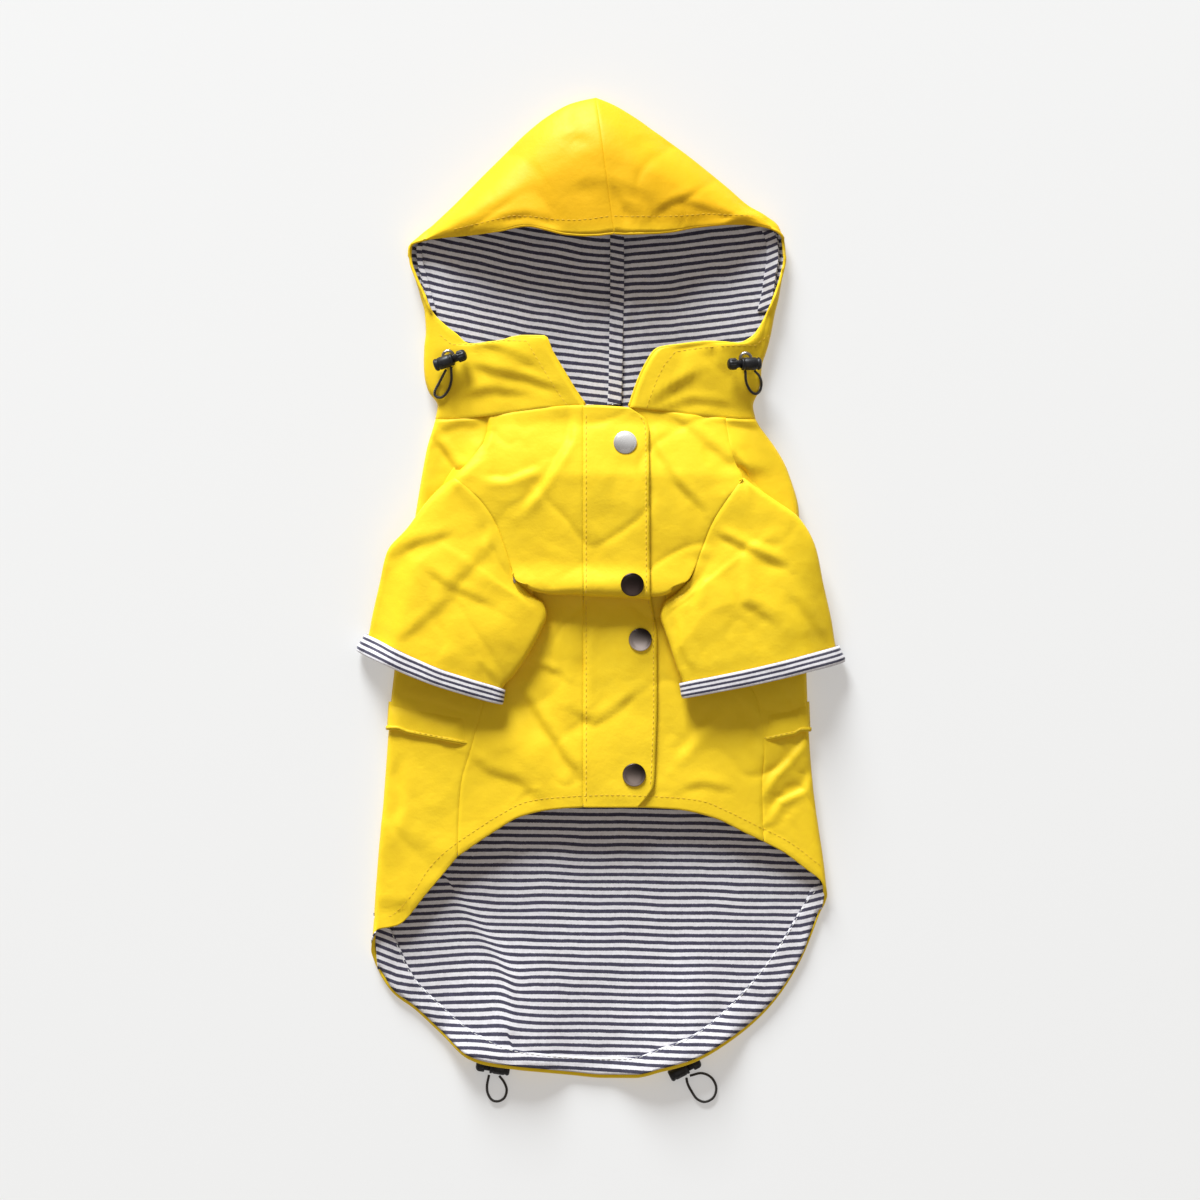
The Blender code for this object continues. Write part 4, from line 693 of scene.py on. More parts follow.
def sleeve_ring(section, at_armhole):
    """Outer points round one ring: top, inner fold, underside, outer fold."""
    spots, normals, reach, radii, loft = section

    def fold(spot, normal, radius, angles):
        centre = sleeve_floor(spot.x, spot.y) + radius
        return [(spot.x + normal.x * reach * math.cos(a), spot.y + normal.y * reach * math.cos(a),
                 centre + radius * math.sin(a)) for a in angles]

    points = []
    for share, spot in zip(SLEEVE_SHARES, spots):
        height = 2 * mix(radii[0], radii[1], share) + loft * (1 - abs(2 * share - 1) ** SLEEVE_ROUND)
        top = sleeve_floor(spot.x, spot.y) + height
        if at_armhole:
            top = body_top(spot.x, spot.y) + chest_lift(spot.y)
        points.append((spot.x, spot.y, top))
    angles = [-math.pi / 2 + math.pi * step / SLEEVE_NOSE_STEPS for step in range(1, SLEEVE_NOSE_STEPS)]
    points += fold(spots[-1], normals[1], radii[1], reversed(angles))
    points += [(spot.x, spot.y, sleeve_floor(spot.x, spot.y)) for spot in reversed(spots)]
    points += fold(spots[0], normals[0], radii[0], angles)
    return points


def tube_offset(rings, distance):
    """The tube's points moved out along the surface's directions."""
    ahead = np.roll(rings, -1, axis=1)
    faces = np.cross(ahead[:-1] - rings[1:], ahead[1:] - rings[:-1])
    faces /= np.linalg.norm(faces, axis=2, keepdims=True)
    normals = np.zeros_like(rings)
    for rows in (slice(0, -1), slice(1, None)):
        normals[rows] += faces + np.roll(faces, 1, axis=1)
    normals /= np.linalg.norm(normals, axis=2, keepdims=True)
    middle = rings.mean(axis=1, keepdims=True)
    outward = np.sign(np.sum(normals * (rings - middle)))
    return rings + normals * outward * distance


# ---------------------------------------------------------------- hood
HOOD_FLAT_SHARES = [0, 0.25, 0.5, 0.72, 0.9, 1.0]
HOOD_NOSE_STEPS = 4
HOOD_TOP_SHARES = [0.08, 0.2, 0.4, 0.7, 1.0]
FACING_SHARE = 4  # facing starts at this flat column
CROWN_FROM = 200  # Y of the side fold where the crown starts
CROWN_TURN = 0.78  # the crown's fold goes straight over into its rise
CROWN_ROUND, HOOD_ROUND = 4.0, 2.2  # how soon the upper layer reaches its height


def hood_grid(table, sign, offset, first_row=0, last_row=None, first_column=0, columns=None):
    """One half's points at an offset inside its outer face: centre seam, side fold, opening's edge."""
    normals = outline_normals([Vector((row.side_x, row.side_y)) for row in table], sign < 0)
    normals[0] = Vector((sign, 0))
    normals[-1] = Vector((0, 1))
    grid = []
    for row, normal in zip(table, normals):
        seam = Vector((row.seam_x + sign * SEAM_GAP / 2, row.seam_y))
        side = Vector((row.side_x, row.side_y)) - normal * FOLD_RADIUS
        if row is table[-1]:
            side.x += sign * SEAM_GAP / 2
            seam = side.copy()
        edge = Vector((row.edge_x, row.edge_y))
        if any(row is last for last in table[-3:]):
            edge.x += sign * SEAM_GAP / 2
        points = [(*seam.lerp(side, share), offset) for share in HOOD_FLAT_SHARES]
        radius = FOLD_RADIUS - offset
        crown = row.side_y > CROWN_FROM
        last_angle = math.pi * (CROWN_TURN if crown and row.turned == 1.0 else 0.55 + 0.45 * row.turned)
        for step in range(1, HOOD_NOSE_STEPS + 1):
            angle = -math.pi / 2 + last_angle * step / HOOD_NOSE_STEPS
            spot = side + normal * (radius * math.cos(angle))
            points.append((*spot, FOLD_RADIUS + radius * math.sin(angle)))
        start = Vector(points[-1])
        end = Vector((*edge, row.edge_height - offset))
        if row.turned < 1.0:
            end = start
        for share in HOOD_TOP_SHARES:
            spot = start.lerp(end, share)
            spot.z = mix(start.z, end.z, 1 - (1 - share) ** (CROWN_ROUND if crown else HOOD_ROUND))
            if row is table[0]:
                spot.y = through(NECK, "x", "y", spot.x)
            points.append(tuple(spot))
        grid.append(points[first_column:columns])
    return np.array(grid[first_row:last_row])


# Creases of the cloth, each a trough along a route with a softer ridge beside it. On: h hood, b body,
# s sleeves. A positive lip lies on the left of the route, a negative one on its right.
FOLDS = named_rows("on depth width lip route", [
    ("h", 0.7, 3.5, 0.4, [(16.2, 245.9), (27.2, 247.4), (41.9, 244.8)]),
    ("h", 1.2, 6.0, 0.5, [(-14.9, 218.8), (-2.1, 221.2), (12.6, 218.8), (27.2, 212.6)]),
    ("h", 1.4, 5.5, 0.6, [(6.1, 220.3), (10.7, 211.1), (18.1, 203.8)]),
    ("h", 0.8, 4.0, 0.6, [(29.1, 204.7), (40.1, 212.0), (54.7, 217.5)]),
    ("h", 0.8, 4.0, 0.6, [(41.9, 212.9), (56.6, 208.4), (74.9, 203.8)]),
    ("h", 0.8, 6.0, 0.3, [(-66.3, 220.3), (-51.6, 236.8), (-33.3, 251.4)]),
    ("h", 0.9, 5.0, 0.4, [(-57.1, 201.9), (-40.6, 204.7), (-24.1, 200.1)]),
    ("h", 0.9, 4.0, 0.5, [(-22.3, 245.9), (-14.9, 247.8), (-3.9, 245.9)]),
    ("h", 1.6, 4.5, 0.9, [(-70.9, 123.1), (-60.8, 119.4), (-40.6, 114.9), (-22.3, 108.4)]),
    ("h", 1.0, 5.0, 0.6, [(-79.1, 104.8), (-60.8, 108.4), (-40.6, 105.7)]),
    ("h", 1.1, 4.0, 0.6, [(-66.3, 134.1), (-47.9, 128.6), (-29.6, 117.6)]),
    ("h", 1.5, 4.5, 0.8, [(27.2, 100.2), (40.1, 109.4), (55.6, 119.4)]),
    ("h", 1.2, 3.5, 0.7, [(60.2, 134.1), (63.0, 124.9), (74.9, 113.0)]),
    ("h", 1.0, 4.5, 0.5, [(32.7, 97.4), (51.1, 102.9), (74.9, 100.2)]),
    ("b", 1.8, 2.8, 0.9, [(-63.3, 96.5), (-62.2, 86.4), (-65.4, 77.3)]),
    ("b", 1.8, 4.5, 0.9, [(-91.0, 81.9), (-80.0, 64.8)]),
    ("b", 1.5, 5.5, 1.0, [(-65.4, 77.3), (-80.0, 64.4), (-98.4, 42.4)]),
    ("b", 1.7, 4.5, 1.0, [(-16.8, 97.4), (-18.2, 82.8), (-25.9, 69.9), (-35.1, 56.2), (-45.2, 43.4)]),
    ("b", 1.3, 5.0, 0.8, [(-33.3, 69.9), (-51.6, 62.6), (-64.4, 63.5)]),
    ("b", 1.3, 4.5, 0.7, [(-88.3, 86.4), (-77.3, 90.1), (-64.4, 89.2)]),
    ("b", 1.5, 4.5, 0.9, [(22.6, 95.6), (30.0, 75.4), (41.0, 58.0), (56.6, 42.4)]),
    ("b", 1.4, 5.5, 0.8, [(38.2, 95.6), (57.5, 80.0), (75.8, 65.4)]),
    ("b", 1.2, 4.5, 0.6, [(21.7, 97.4), (41.9, 100.2), (60.2, 97.4)]),
    ("b", 2.0, 3.2, 1.0, [(72.7, 75.4), (78.9, 64.4), (79.7, 54.9)]),
    ("b", 1.2, 4.0, 0.8, [(67.6, 91.9), (87.7, 88.3)]),
    ("s", 1.6, 4.5, 1.1, [(62.1, 30.5), (82.2, 20.8), (101.5, 11.6)]),
    ("s", 1.1, 5.0, 0.6, [(53.8, 9.4), (50.1, -8.9)]),
    ("s", 1.2, 6.0, 0.8, [(-117.6, 14.9), (-99.3, 25.0), (-80.9, 29.2)]),
    ("s", 1.0, 7.0, 0.6, [(-86.4, -5.2), (-69.9, 11.3), (-57.1, 24.1)]),
    ("s", 0.9, 5.0, 0.5, [(-68.1, 53.4), (-62.6, 38.8), (-64.4, 24.1)]),
    ("s", 0.8, 5.5, 0.6, [(-108.4, -29.1), (-93.8, -16.2), (-77.3, -3.4)]),
    ("s", 1.2, 3.5, 0.8, [(-65.4, -41.9), (-60.8, -49.2), (-59.9, -56.6)]),
    ("s", 0.9, 5.0, 0.5, [(-97.4, 11.3), (-82.8, 0.3), (-57.1, -10.7)]),
    ("s", 0.9, 6.0, 0.7, [(74.9, 13.1), (76.7, -7.1), (96.9, -19.9)]),
    ("s", 1.2, 4.0, 0.8, [(40.1, -12.6), (41.9, -30.9), (49.2, -46.5)]),
    ("s", 0.9, 5.0, 0.5, [(102.4, -1.6), (113.4, -16.2), (122.6, -29.1)]),
    ("b", 1.4, 4.5, 0.8, [(-43.4, -37.3), (-33.3, -42.8), (-22.3, -47.4)]),
    ("b", 2.0, 5.5, 1.0, [(-47.9, -51.1), (-31.4, -76.7), (-18.6, -95.1), (-10.9, -105.7)]),
    ("b", 1.2, 4.0, 0.6, [(-7.2, -14.4), (-9.8, -38.2), (-8.5, -60.2)]),
    ("b", 1.1, 5.0, 0.6, [(-16.8, -66.6), (-3.9, -74.9), (8.9, -67.6), (21.7, -56.6)]),
    ("b", 1.4, 6.0, 0.8, [(63.0, -63.0), (51.1, -77.6), (40.1, -93.2)]),
    ("b", 1.2, 4.5, 0.7, [(75.8, -60.2), (84.1, -71.2), (88.1, -85.9)]),
    ("b", 1.9, 4.0, 1.0, [(113.4, -78.6), (101.5, -92.3), (93.2, -100.6), (88.1, -109.7)]),
    ("b", 1.6, 4.0, 0.9, [(116.1, -96.0), (110.6, -107.9), (96.9, -114.3), (91.4, -124.4)]),
    ("b", 1.1, 5.0, 0.6, [(-40.6, -109.7), (-35.1, -117.1)]),
    ("b", 1.0, 6.0, 0.6, [(-73.6, -91.4), (-62.6, -100.6), (-40.6, -107.9)]),
    ("b", 1.0, 6.0, 0.6, [(-112.1, -93.2), (-110.3, -111.6), (-113.9, -129.9)]),
    ("b", 1.5, 4.0, 0.8, [(-123.1, -172.1), (-113.9, -174.8), (-103.9, -173.9)]),
    ("b", 0.9, 5.0, 0.5, [(43.7, -111.6), (56.6, -107.9), (73.1, -111.6)]),
    ("b", 0.5, 2.0, 0.3, [(-113.0, -56.6), (-88.3, -62.1), (-67.2, -69.4)]),
    ("b", 0.5, 2.0, 0.3, [(86.8, -63.9), (100.6, -66.6), (112.5, -62.1)]),
])
FOLD_GAIN = 0.8  # the table's depths and widths are scaled by these
FOLD_NARROW = 0.62
FOLD_SEEDS = {"h": 3, "b": 11, "s": 23}
LIP_SHIFT = 1.3  # the ridge's distance from the trough, in widths
FOLD_KINK = 0.7  # how sharp a trough is
QUIET_REACH = {"snap": 10.0, "lock": 13.0}
CORD_FROM_LOCK = (2.0, -12.0)  # middle of a hood cord's loop from its lock, towards the hood's middle


def quiet(x, y):
    """0 under the snaps, locks and hood cords, which lie on the plain form, and 1 away from them."""
    keep = np.ones(np.shape(x))
    spots = [(s.x, s.y, QUIET_REACH["snap"]) for s in SNAPS]
    spots += [(k.x, k.y, QUIET_REACH["lock"]) for k in HOOD_LOCKS]
    cord_x, cord_y = CORD_FROM_LOCK
    spots += [(k.x + cord_x * math.copysign(1, -k.x), k.y + cord_y, QUIET_REACH["lock"]) for k in HOOD_LOCKS]
    for spot_x, spot_y, reach in spots:
        keep = keep * (1 - np.exp(-((np.hypot(x - spot_x, y - spot_y) / reach) ** 4)))
    return keep


def relief(x, y, on):
    """How far the cloth stands out at a place, in millimetres: creases, soft waves and fine wrinkles."""
    x, y = np.asarray(x, float), np.asarray(y, float)
    total = np.zeros(x.shape)
    for fold in FOLDS:
        if fold.on != on:
            continue
        away, side, share = beside(x, y, fold.route)
        width = FOLD_NARROW * fold.width
        near = np.abs(away) < 10 * width
        if not near.any():
            continue
        fade = np.clip(np.minimum(share, 1 - share) * 4 + 0.25, 0, 1)
        across = away * side * math.copysign(1, fold.lip)
        soft = np.sqrt(away**2 + FOLD_KINK**2) - FOLD_KINK
        wall = np.where(across > 0, 0.6, 1.9) * width
        wander = 1 + 0.35 * lattice(x, y, 9.0, 40)
        total -= fold.depth * fade * wander * np.exp(-soft / wall)
        total += abs(fold.lip) * fade * np.exp(-(((across - LIP_SHIFT * width) / width) ** 2))
    seed = FOLD_SEEDS[on]
    waves = 0.45 * lattice(x, y, 34.0, seed) + 0.28 * turned_lattice(x, y, 17.0, seed + 1, 62, 1.8)
    sharp = 1 - np.abs(turned_lattice(x, y, 26.0, seed + 2, 35, 1.7))
    sharper = 1 - np.abs(turned_lattice(x, y, 15.0, seed + 3, 118, 2.0))
    where = np.clip(0.5 + lattice(x, y, 45.0, seed + 4), 0, 1)
    fine = -0.8 * where * sharp**7 - 0.5 * (1 - where) * sharper**7
    fine += 0.07 * lattice(x, y, 6.0, seed + 5)
    fine += 0.75 * facets(x, y, 30.0, seed + 6, 25, 1.5) + 0.32 * facets(x, y, 15.0, seed + 9, -50, 1.7)
    return (FOLD_GAIN * total + (waves + fine)) * quiet(x, y)


# ---------------------------------------------------------------- pieces
def placed(name, data):
    """An object of the data, in the scene."""
    made = bpy.data.objects.new(name, data)
    bpy.context.scene.collection.objects.link(made)
    return made


def cloth_object(name, grid, finish, thickness, ring=False, phase=None, lining=None, inner=None,
                 turned=None):
    """A cloth piece from a fine grid, thickened inwards. Phase is the stripes' own measure, in mm."""
    grid = np.asarray(grid, float)
    rows, columns = grid.shape[:2]
    mesh = bpy.data.meshes.new(name)
    last = columns if ring else columns - 1
    r, c = np.meshgrid(np.arange(rows - 1), np.arange(last), indexing="ij")
    after = (c + 1) % columns
    faces = np.stack([r * columns + c, (r + 1) * columns + c,
                      (r + 1) * columns + after, r * columns + after], -1)
    normals = outward(grid, directions(grid, ring), ring) if inner is None else inner
    flat = grid.reshape(-1, 3)
    faces = faces.reshape(-1, 4)
    a, b, d = flat[faces[:, 0]], flat[faces[:, 1]], flat[faces[:, 3]]
    if np.sum(np.cross(b - a, d - a) * normals.reshape(-1, 3)[faces[:, 0]]) < 0:
        faces = faces[:, ::-1]
    mesh.from_pydata((flat * MM).tolist(), [], faces.tolist())
    made = placed(name, mesh)
    mesh.materials.append(finish)
    if phase is not None:
        values = phase.ravel().astype(np.float32)
        mesh.attributes.new("phase", "FLOAT", "POINT").data.foreach_set("value", values)
    mesh.shade_smooth()
    solid = made.modifiers.new("wall", "SOLIDIFY")
    solid.thickness = thickness * MM
    solid.offset = -1.0
    solid.use_quality_normals = True
    if lining is not None:
        mesh.materials.append(lining)
        solid.material_offset = 1
    if turned is not None:  # turned-in edges are yellow on both sides
        mesh.materials.append(finish)
        mesh.materials.append(finish)
        marks = turned.ravel()[faces].any(axis=1)
        mesh.polygons.foreach_set("material_index", np.where(marks, 2, 0).astype(np.int32))
    return made


# A sewn edge turns in, by steps: how far beyond the edge, and how far into the coat.
TUCK = [(0.12, 0.08), (0.3, 0.35), (0.42, 1.8)]
DEEP_TUCK = [(0.12, 0.08), (0.32, 0.4), (0.5, 1.6), (0.5, 4.2)]


class Cloth(namedtuple("Cloth", "grid normals turned")):
    """A fine grid, its directions, and which points are sewn edges turned in."""


def tucked(grid, normals, edges, profile=TUCK, share=None):
    """The cloth with its sewn edges turned in, so that neighbours meet in a fine groove."""
    share = np.ones(grid.shape[:2]) if share is None else share
    parts = [grid, normals, np.zeros(grid.shape[:2]), share]
    for edge in edges:
        axis = 0 if edge in ("top", "bottom") else 1
        turn = -1 if edge in ("bottom", "right") else 1
        parts = [np.moveaxis(part, axis, 0)[::turn] for part in parts]
        grid, normals, turned, share = parts
        away = grid[0] - grid[1]
        away /= np.maximum(np.linalg.norm(away, axis=1, keepdims=True), 1e-6)
        extra = [grid[0] + (away * out - normals[0] * down) * share[0][:, None]
                 for out, down in profile[::-1]]
        parts = [np.concatenate([np.stack(extra), grid])]
        parts += [np.concatenate([np.repeat(part[:1] * keep + 1 - keep, len(profile), axis=0), part])
                  for part, keep in ((normals, 1), (turned, 0), (share, 1))]
        parts = [np.moveaxis(part[::turn], 0, axis) for part in parts]
    return Cloth(parts[0], parts[1], parts[2] > 0.5)


def tree_of(made):
    """Search tree of a piece's outer points, in millimetres."""
    points = [made.matrix_world @ v.co / MM for v in made.data.vertices]
    return BVHTree.FromPolygons(points, [p.vertices[:] for p in made.data.polygons])


def join(name, parts, finish):
    """One mesh object from (points, faces) parts in millimetres."""
    points, faces = [], []
    for part_points, part_faces in parts:
        base = len(points)
        points += [tuple(p) for p in part_points]
        faces += [[base + i for i in face] for face in part_faces]
    mesh = bpy.data.meshes.new(name)
    mesh.from_pydata([(x * MM, y * MM, z * MM) for x, y, z in points], [], faces)
    mesh.materials.append(finish)
    mesh.shade_smooth()
    return placed(name, mesh)


# ---------------------------------------------------------------- sewing
STITCH_LENGTH = 2.3
STITCH_SPACING = 3.0
THREAD = 0.2
STITCH_RING = 5  # points round a stitch
STITCH_CLIMB = 1.6  # over a step higher than this a stitch is left out
STITCH_ENDS = (-0.5, 0.0, 0.5)  # shares of its length
STITCH_RADII = (0.35, 0.9, 1.0, 0.9, 0.35)  # in threads, from end to end
STITCH_LIFTS = (-0.3, 0.45, 0.6, 0.45, -0.3)


def walk(route, spacing):
    """Even (x, y, run_x, run_y) places along a route."""
    route = np.asarray(route, float)
    lengths = np.concatenate([[0], np.cumsum(np.linalg.norm(np.diff(route, axis=0), axis=1))])
    at = np.arange(spacing / 2, lengths[-1], spacing)
    xs, ys = np.interp(at, lengths, route[:, 0]), np.interp(at, lengths, route[:, 1])
    ahead = np.minimum(at + 0.5, lengths[-1])
    behind = np.maximum(at - 0.5, 0)
    runs = np.stack([np.interp(ahead, lengths, route[:, k]) - np.interp(behind, lengths, route[:, k])
                     for k in (0, 1)], -1)
    runs /= np.linalg.norm(runs, axis=1, keepdims=True)
    return [(x, y, run[0], run[1]) for x, y, run in zip(xs, ys, runs)]


def stitches(name, trees, routes, finish, thread=THREAD):
    """A row of raised stitches along each route, laid on the pieces' upper side."""
    parts = []
    for route in routes:
        for x, y, run_x, run_y in walk(route, STITCH_SPACING):
            ends = []
            for share in STITCH_ENDS:
                start = Vector((x + run_x * STITCH_LENGTH * share, y + run_y * STITCH_LENGTH * share,
                                RAY_FROM))
                hits = [tree.ray_cast(start, DOWN)[0] for tree in trees]
                heights = [hit.z for hit in hits if hit is not None]
                if heights:
                    ends.append(Vector((start.x, start.y, max(heights))))
            if len(ends) < 3 or max(e.z for e in ends) - min(e.z for e in ends) > STITCH_CLIMB:
                continue
            along = (ends[2] - ends[0]).normalized()
            side = along.cross(Vector((0, 0, 1))).normalized()
            up = side.cross(along)
            points = []
            centres = (ends[0], ends[0].lerp(ends[1], 0.5), ends[1], ends[1].lerp(ends[2], 0.5), ends[2])
            for centre, radius, lift in zip(centres, STITCH_RADII, STITCH_LIFTS):
                for turn in range(STITCH_RING):
                    angle = 2 * math.pi * turn / STITCH_RING
                    out = side * math.cos(angle) + up * math.sin(angle)
                    points.append(centre + up * thread * lift + out * thread * radius)
            faces = [
                [ring * STITCH_RING + turn, ring * STITCH_RING + (turn + 1) % STITCH_RING,
                 (ring + 1) * STITCH_RING + (turn + 1) % STITCH_RING, (ring + 1) * STITCH_RING + turn]
                for ring in range(4) for turn in range(STITCH_RING)
            ]
            faces.append(list(range(STITCH_RING))[::-1])
            faces.append([4 * STITCH_RING + turn for turn in range(STITCH_RING)])
            parts.append((points, faces))
    return join(name, parts, finish)


# ---------------------------------------------------------------- building the coat
YELLOW_WALL = 0.6
STRIPED_WALL = 0.45
FLAP_WALL = 0.8
BODY = "coat"
HEM_ROLL = 1.35
ARCH_ROLL = 0.8
ROLL_INSIDE = 6.0  # turned-in cloth beyond the edge's roll
SEAM_DIP = 0.14
SEAM_DIP_REACH = 1.4
STRIPE_PITCH = 4.1
STRIPE_STEP = 4.6  # the stripes' drop over the back lining's crease
LINING_CREASE = [(-79.5, -166.0), (-67.5, -184.0), (-56.5, -201.0), (-50.5, -214.0), (-50.0, -240.0)]
CASING_PUFF = 0.5


def rolled(grid, inside, radii, flange):
    """The grid with its last row turned round to the inside, within its own outline."""
    grid, inside = np.asarray(grid, float), np.asarray(inside, float)
    radii = np.broadcast_to(np.asarray(radii, float), grid.shape[1]).reshape(-1, 1)
    run = grid[-1] - grid[-2]
    run /= np.maximum(np.linalg.norm(run, axis=1, keepdims=True), 1e-9)
    middle = grid[-1] - run * radii + inside * radii
    rows = [middle + (run * math.sin(a) - inside * math.cos(a)) * radii
            for a in np.linspace(0, math.pi, 5)]
    rows.append(rows[-1] - run * flange)
    return np.concatenate([grid[:-1], np.stack(rows)])


def edge_reach(grid, edges):
    """Distance along the cloth from the named edges of a grid."""
    reach = np.full(grid.shape[:2], 1e9)
    down = np.linalg.norm(np.diff(grid, axis=0), axis=2)
    across = np.linalg.norm(np.diff(grid, axis=1), axis=2)
    rows = np.concatenate([np.zeros((1, grid.shape[1])), np.cumsum(down, axis=0)])
    columns = np.concatenate([np.zeros((grid.shape[0], 1)), np.cumsum(across, axis=1)], axis=1)
    found = {"top": rows, "bottom": rows[-1:] - rows, "left": columns, "right": columns[:, -1:] - columns}
    for edge in edges:
        reach = np.minimum(reach, found[edge])
    return reach


def seam_dip(grid, edges):
    """How far the cloth dips beside its sewn edges."""
    return SEAM_DIP * np.exp(-((edge_reach(grid, edges) / SEAM_DIP_REACH) ** 2))


def sewn_share(grid, inside):
    """0 over the cloth rolled to the inside at the last row, and 1 beyond."""
    near_fold = np.exp(-(((grid[..., 1] - 1.0) / 12.0) ** 4)) * (np.abs(grid[..., 0]) < 60)
    return np.clip((edge_reach(grid, ("bottom",)) - inside) / 5.0, 0.05, 1) * (1 - 0.9 * near_fold)


FACING_ROUND = 0.7  # how fast creases fade where the cloth turns away from above


def dressed(grid, on, seams, still, share, ring=False):
    """The fine cloth with its creases, on what faces up, and its sewn edges turned in."""
    normals = outward(grid, directions(grid, ring), ring)
    facing = np.clip(normals[..., 2:3], 0, 1) ** FACING_ROUND
    move = relief(grid[..., 0], grid[..., 1], on)[..., None] * facing * still[..., None]
    move = move - seam_dip(grid, seams)[..., None]
    return tucked(grid + normals * move, normals, seams, DEEP_TUCK, share)


def piece(made, nodes):
    """Says what a piece rides on and hides the solids that it replaces."""
    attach(made, BODY)
    if nodes:
        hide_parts(*nodes)
    return made


def striped_phase(grid, slope=0.0, uneven=0.35):
    """The stripes' measure: along Y, leaning by a slope, slightly uneven."""
    x, y = grid[..., 0], grid[..., 1]
    return y + slope * x + uneven * lattice(x, y, 22.0, 71) + 0.12 * lattice(x, y, 7.0, 72)


# The casing's ends turn up with the coat's sides: end column, how far out, how far up.
CASING_ENDS = [(0, -3.1, 1.3), (0, -1.8, 0.3), (-1, 1.8, 0.3), (-1, 3.1, 1.3)]

# How far the hem casing's stripes lie below the level, at each X.
CASING_STRIPES = [(-125, 0.0), (-112, 4.9), (-105, 6.0), (0, 11.8), (90, 15.9), (110, 14.9), (123, 11.7)]


def build_back_pieces(yellow, striped):
    """The back's shell, the lining that shows beyond the belly, and the hem's casing."""
    coarse = back_grid(0.0)
    inside = back_grid(1.0)[-1] - coarse[-1]
    flats = len(BACK_COLUMNS) - 2
    side_radii = [ARCH_ROLL] * 3 + list(np.linspace(ARCH_ROLL, HEM_ROLL, NOSE_STEPS + 1))
    radii = side_radii + [HEM_ROLL] * flats + side_radii[::-1]
    grid = finer(rolled(coarse, inside, radii, 2.2), 1.62)
    normals = directions(grid)
    middle = grid.shape[1] // 2
    if normals[5, middle, 2] > 0:
        normals = -normals
    x, y = grid[..., 0], grid[..., 1]
    move = relief(x, y, "b") * np.clip(normals[..., 2], 0, 1) ** FACING_ROUND
    move -= seam_dip(grid, ("left", "right"))
    fade = np.clip(edge_reach(grid, ("bottom",)) / 12.0, 0, 1)
    share = sewn_share(grid, 6.0)
    grid = grid + normals * (move * fade)[..., None]
    grid, normals, turned = tucked(grid, normals, ("left", "right"), DEEP_TUCK, share)
    made = cloth_object("back_shell", grid, yellow, YELLOW_WALL, phase=striped_phase(grid), lining=striped,
                        inner=normals, turned=turned)
    piece(made, ["back_panel"])

    lined_top = CLOTH + SEAM_GAP + LINING
    rows = len(back_flat_column(0.5))
    coarse = back_flat_grid(lined_top, LINED_FROM - 4, rows - 1, BACK_COLUMNS)
    grid = finer(coarse)
    x, y = grid[..., 0], grid[..., 1]
    away, side, share = beside(x, y, LINING_CREASE)
    lift = 1.1 * np.exp(-((away / 5.0) ** 2)) * np.clip(share * 4, 0, 1)
    lift += 0.35 * lattice(x, y, 30.0, 51) + 0.12 * lattice(x, y, 11.0, 52)
    edge = edge_reach(grid, ("bottom", "left", "right"))
    lift *= np.clip(edge / 14.0, 0, 1)
    grid[..., 2] += np.maximum(lift, -0.5)
    falls = 0.5 + 0.5 * np.tanh(away * side / 4.0)
    phase = striped_phase(grid, slope=0.018, uneven=0.5)
    left_of, along = np.minimum(x + 62, 0) / 38.0, (y + 200) / 42.0
    phase -= STRIPE_STEP * (1 - falls) * np.exp(-(left_of**2)) * np.exp(-(along**2))
    made = cloth_object("back_lining_cloth", grid, striped, STRIPED_WALL, phase=phase)
    piece(made, ["back_lining"])

    coarse = back_flat_grid(CLOTH + LINING + 2 * SEAM_GAP + TRIM, rows - 3, rows - 1, BACK_COLUMNS)
    tip_share = np.array([[[1.0]], [[0.25]]])
    ends = [coarse[:, [end]] + np.array([out, 0.0, up]) * tip_share for end, out, up in CASING_ENDS]
    grid = finer(np.concatenate(ends[:2] + [coarse] + ends[2:], axis=1))
    x, y = grid[..., 0], grid[..., 1]
    reach = edge_reach(grid, ("top", "bottom"))
    puff = CASING_PUFF * np.clip(reach / 3.0, 0, 1)
    grid[..., 2] += puff * (1 + 0.8 * lattice(x, y, 9.0, 61)) - CASING_PUFF / 2
    across = np.interp(x, *zip(*CASING_STRIPES))
    phase = y + across + 0.5 * lattice(x, y, 16.0, 62) + 1.4
    made = cloth_object("hem_casing", grid, striped, STRIPED_WALL, phase=phase)
    piece(made, ["hem_facing"])


FOLD_PUFF = 2.4  # how far the chest's lower edge stands up
BELLY_TUCK = 1.6  # how far the belly goes down under it
FOLD_REACH = 9.0  # how far along Y both go
CHEST_FROM = 13.5  # the chest's cloth lies above this height at the fold
LEFT_SHARES = (0, 0.12, 0.28, 0.5, 0.72, 0.88, 1)
STRIP_SHARES = (0, 0.33, 0.66, 1)
RIGHT_SHARES = (0.3, 0.6, 0.85, 1)


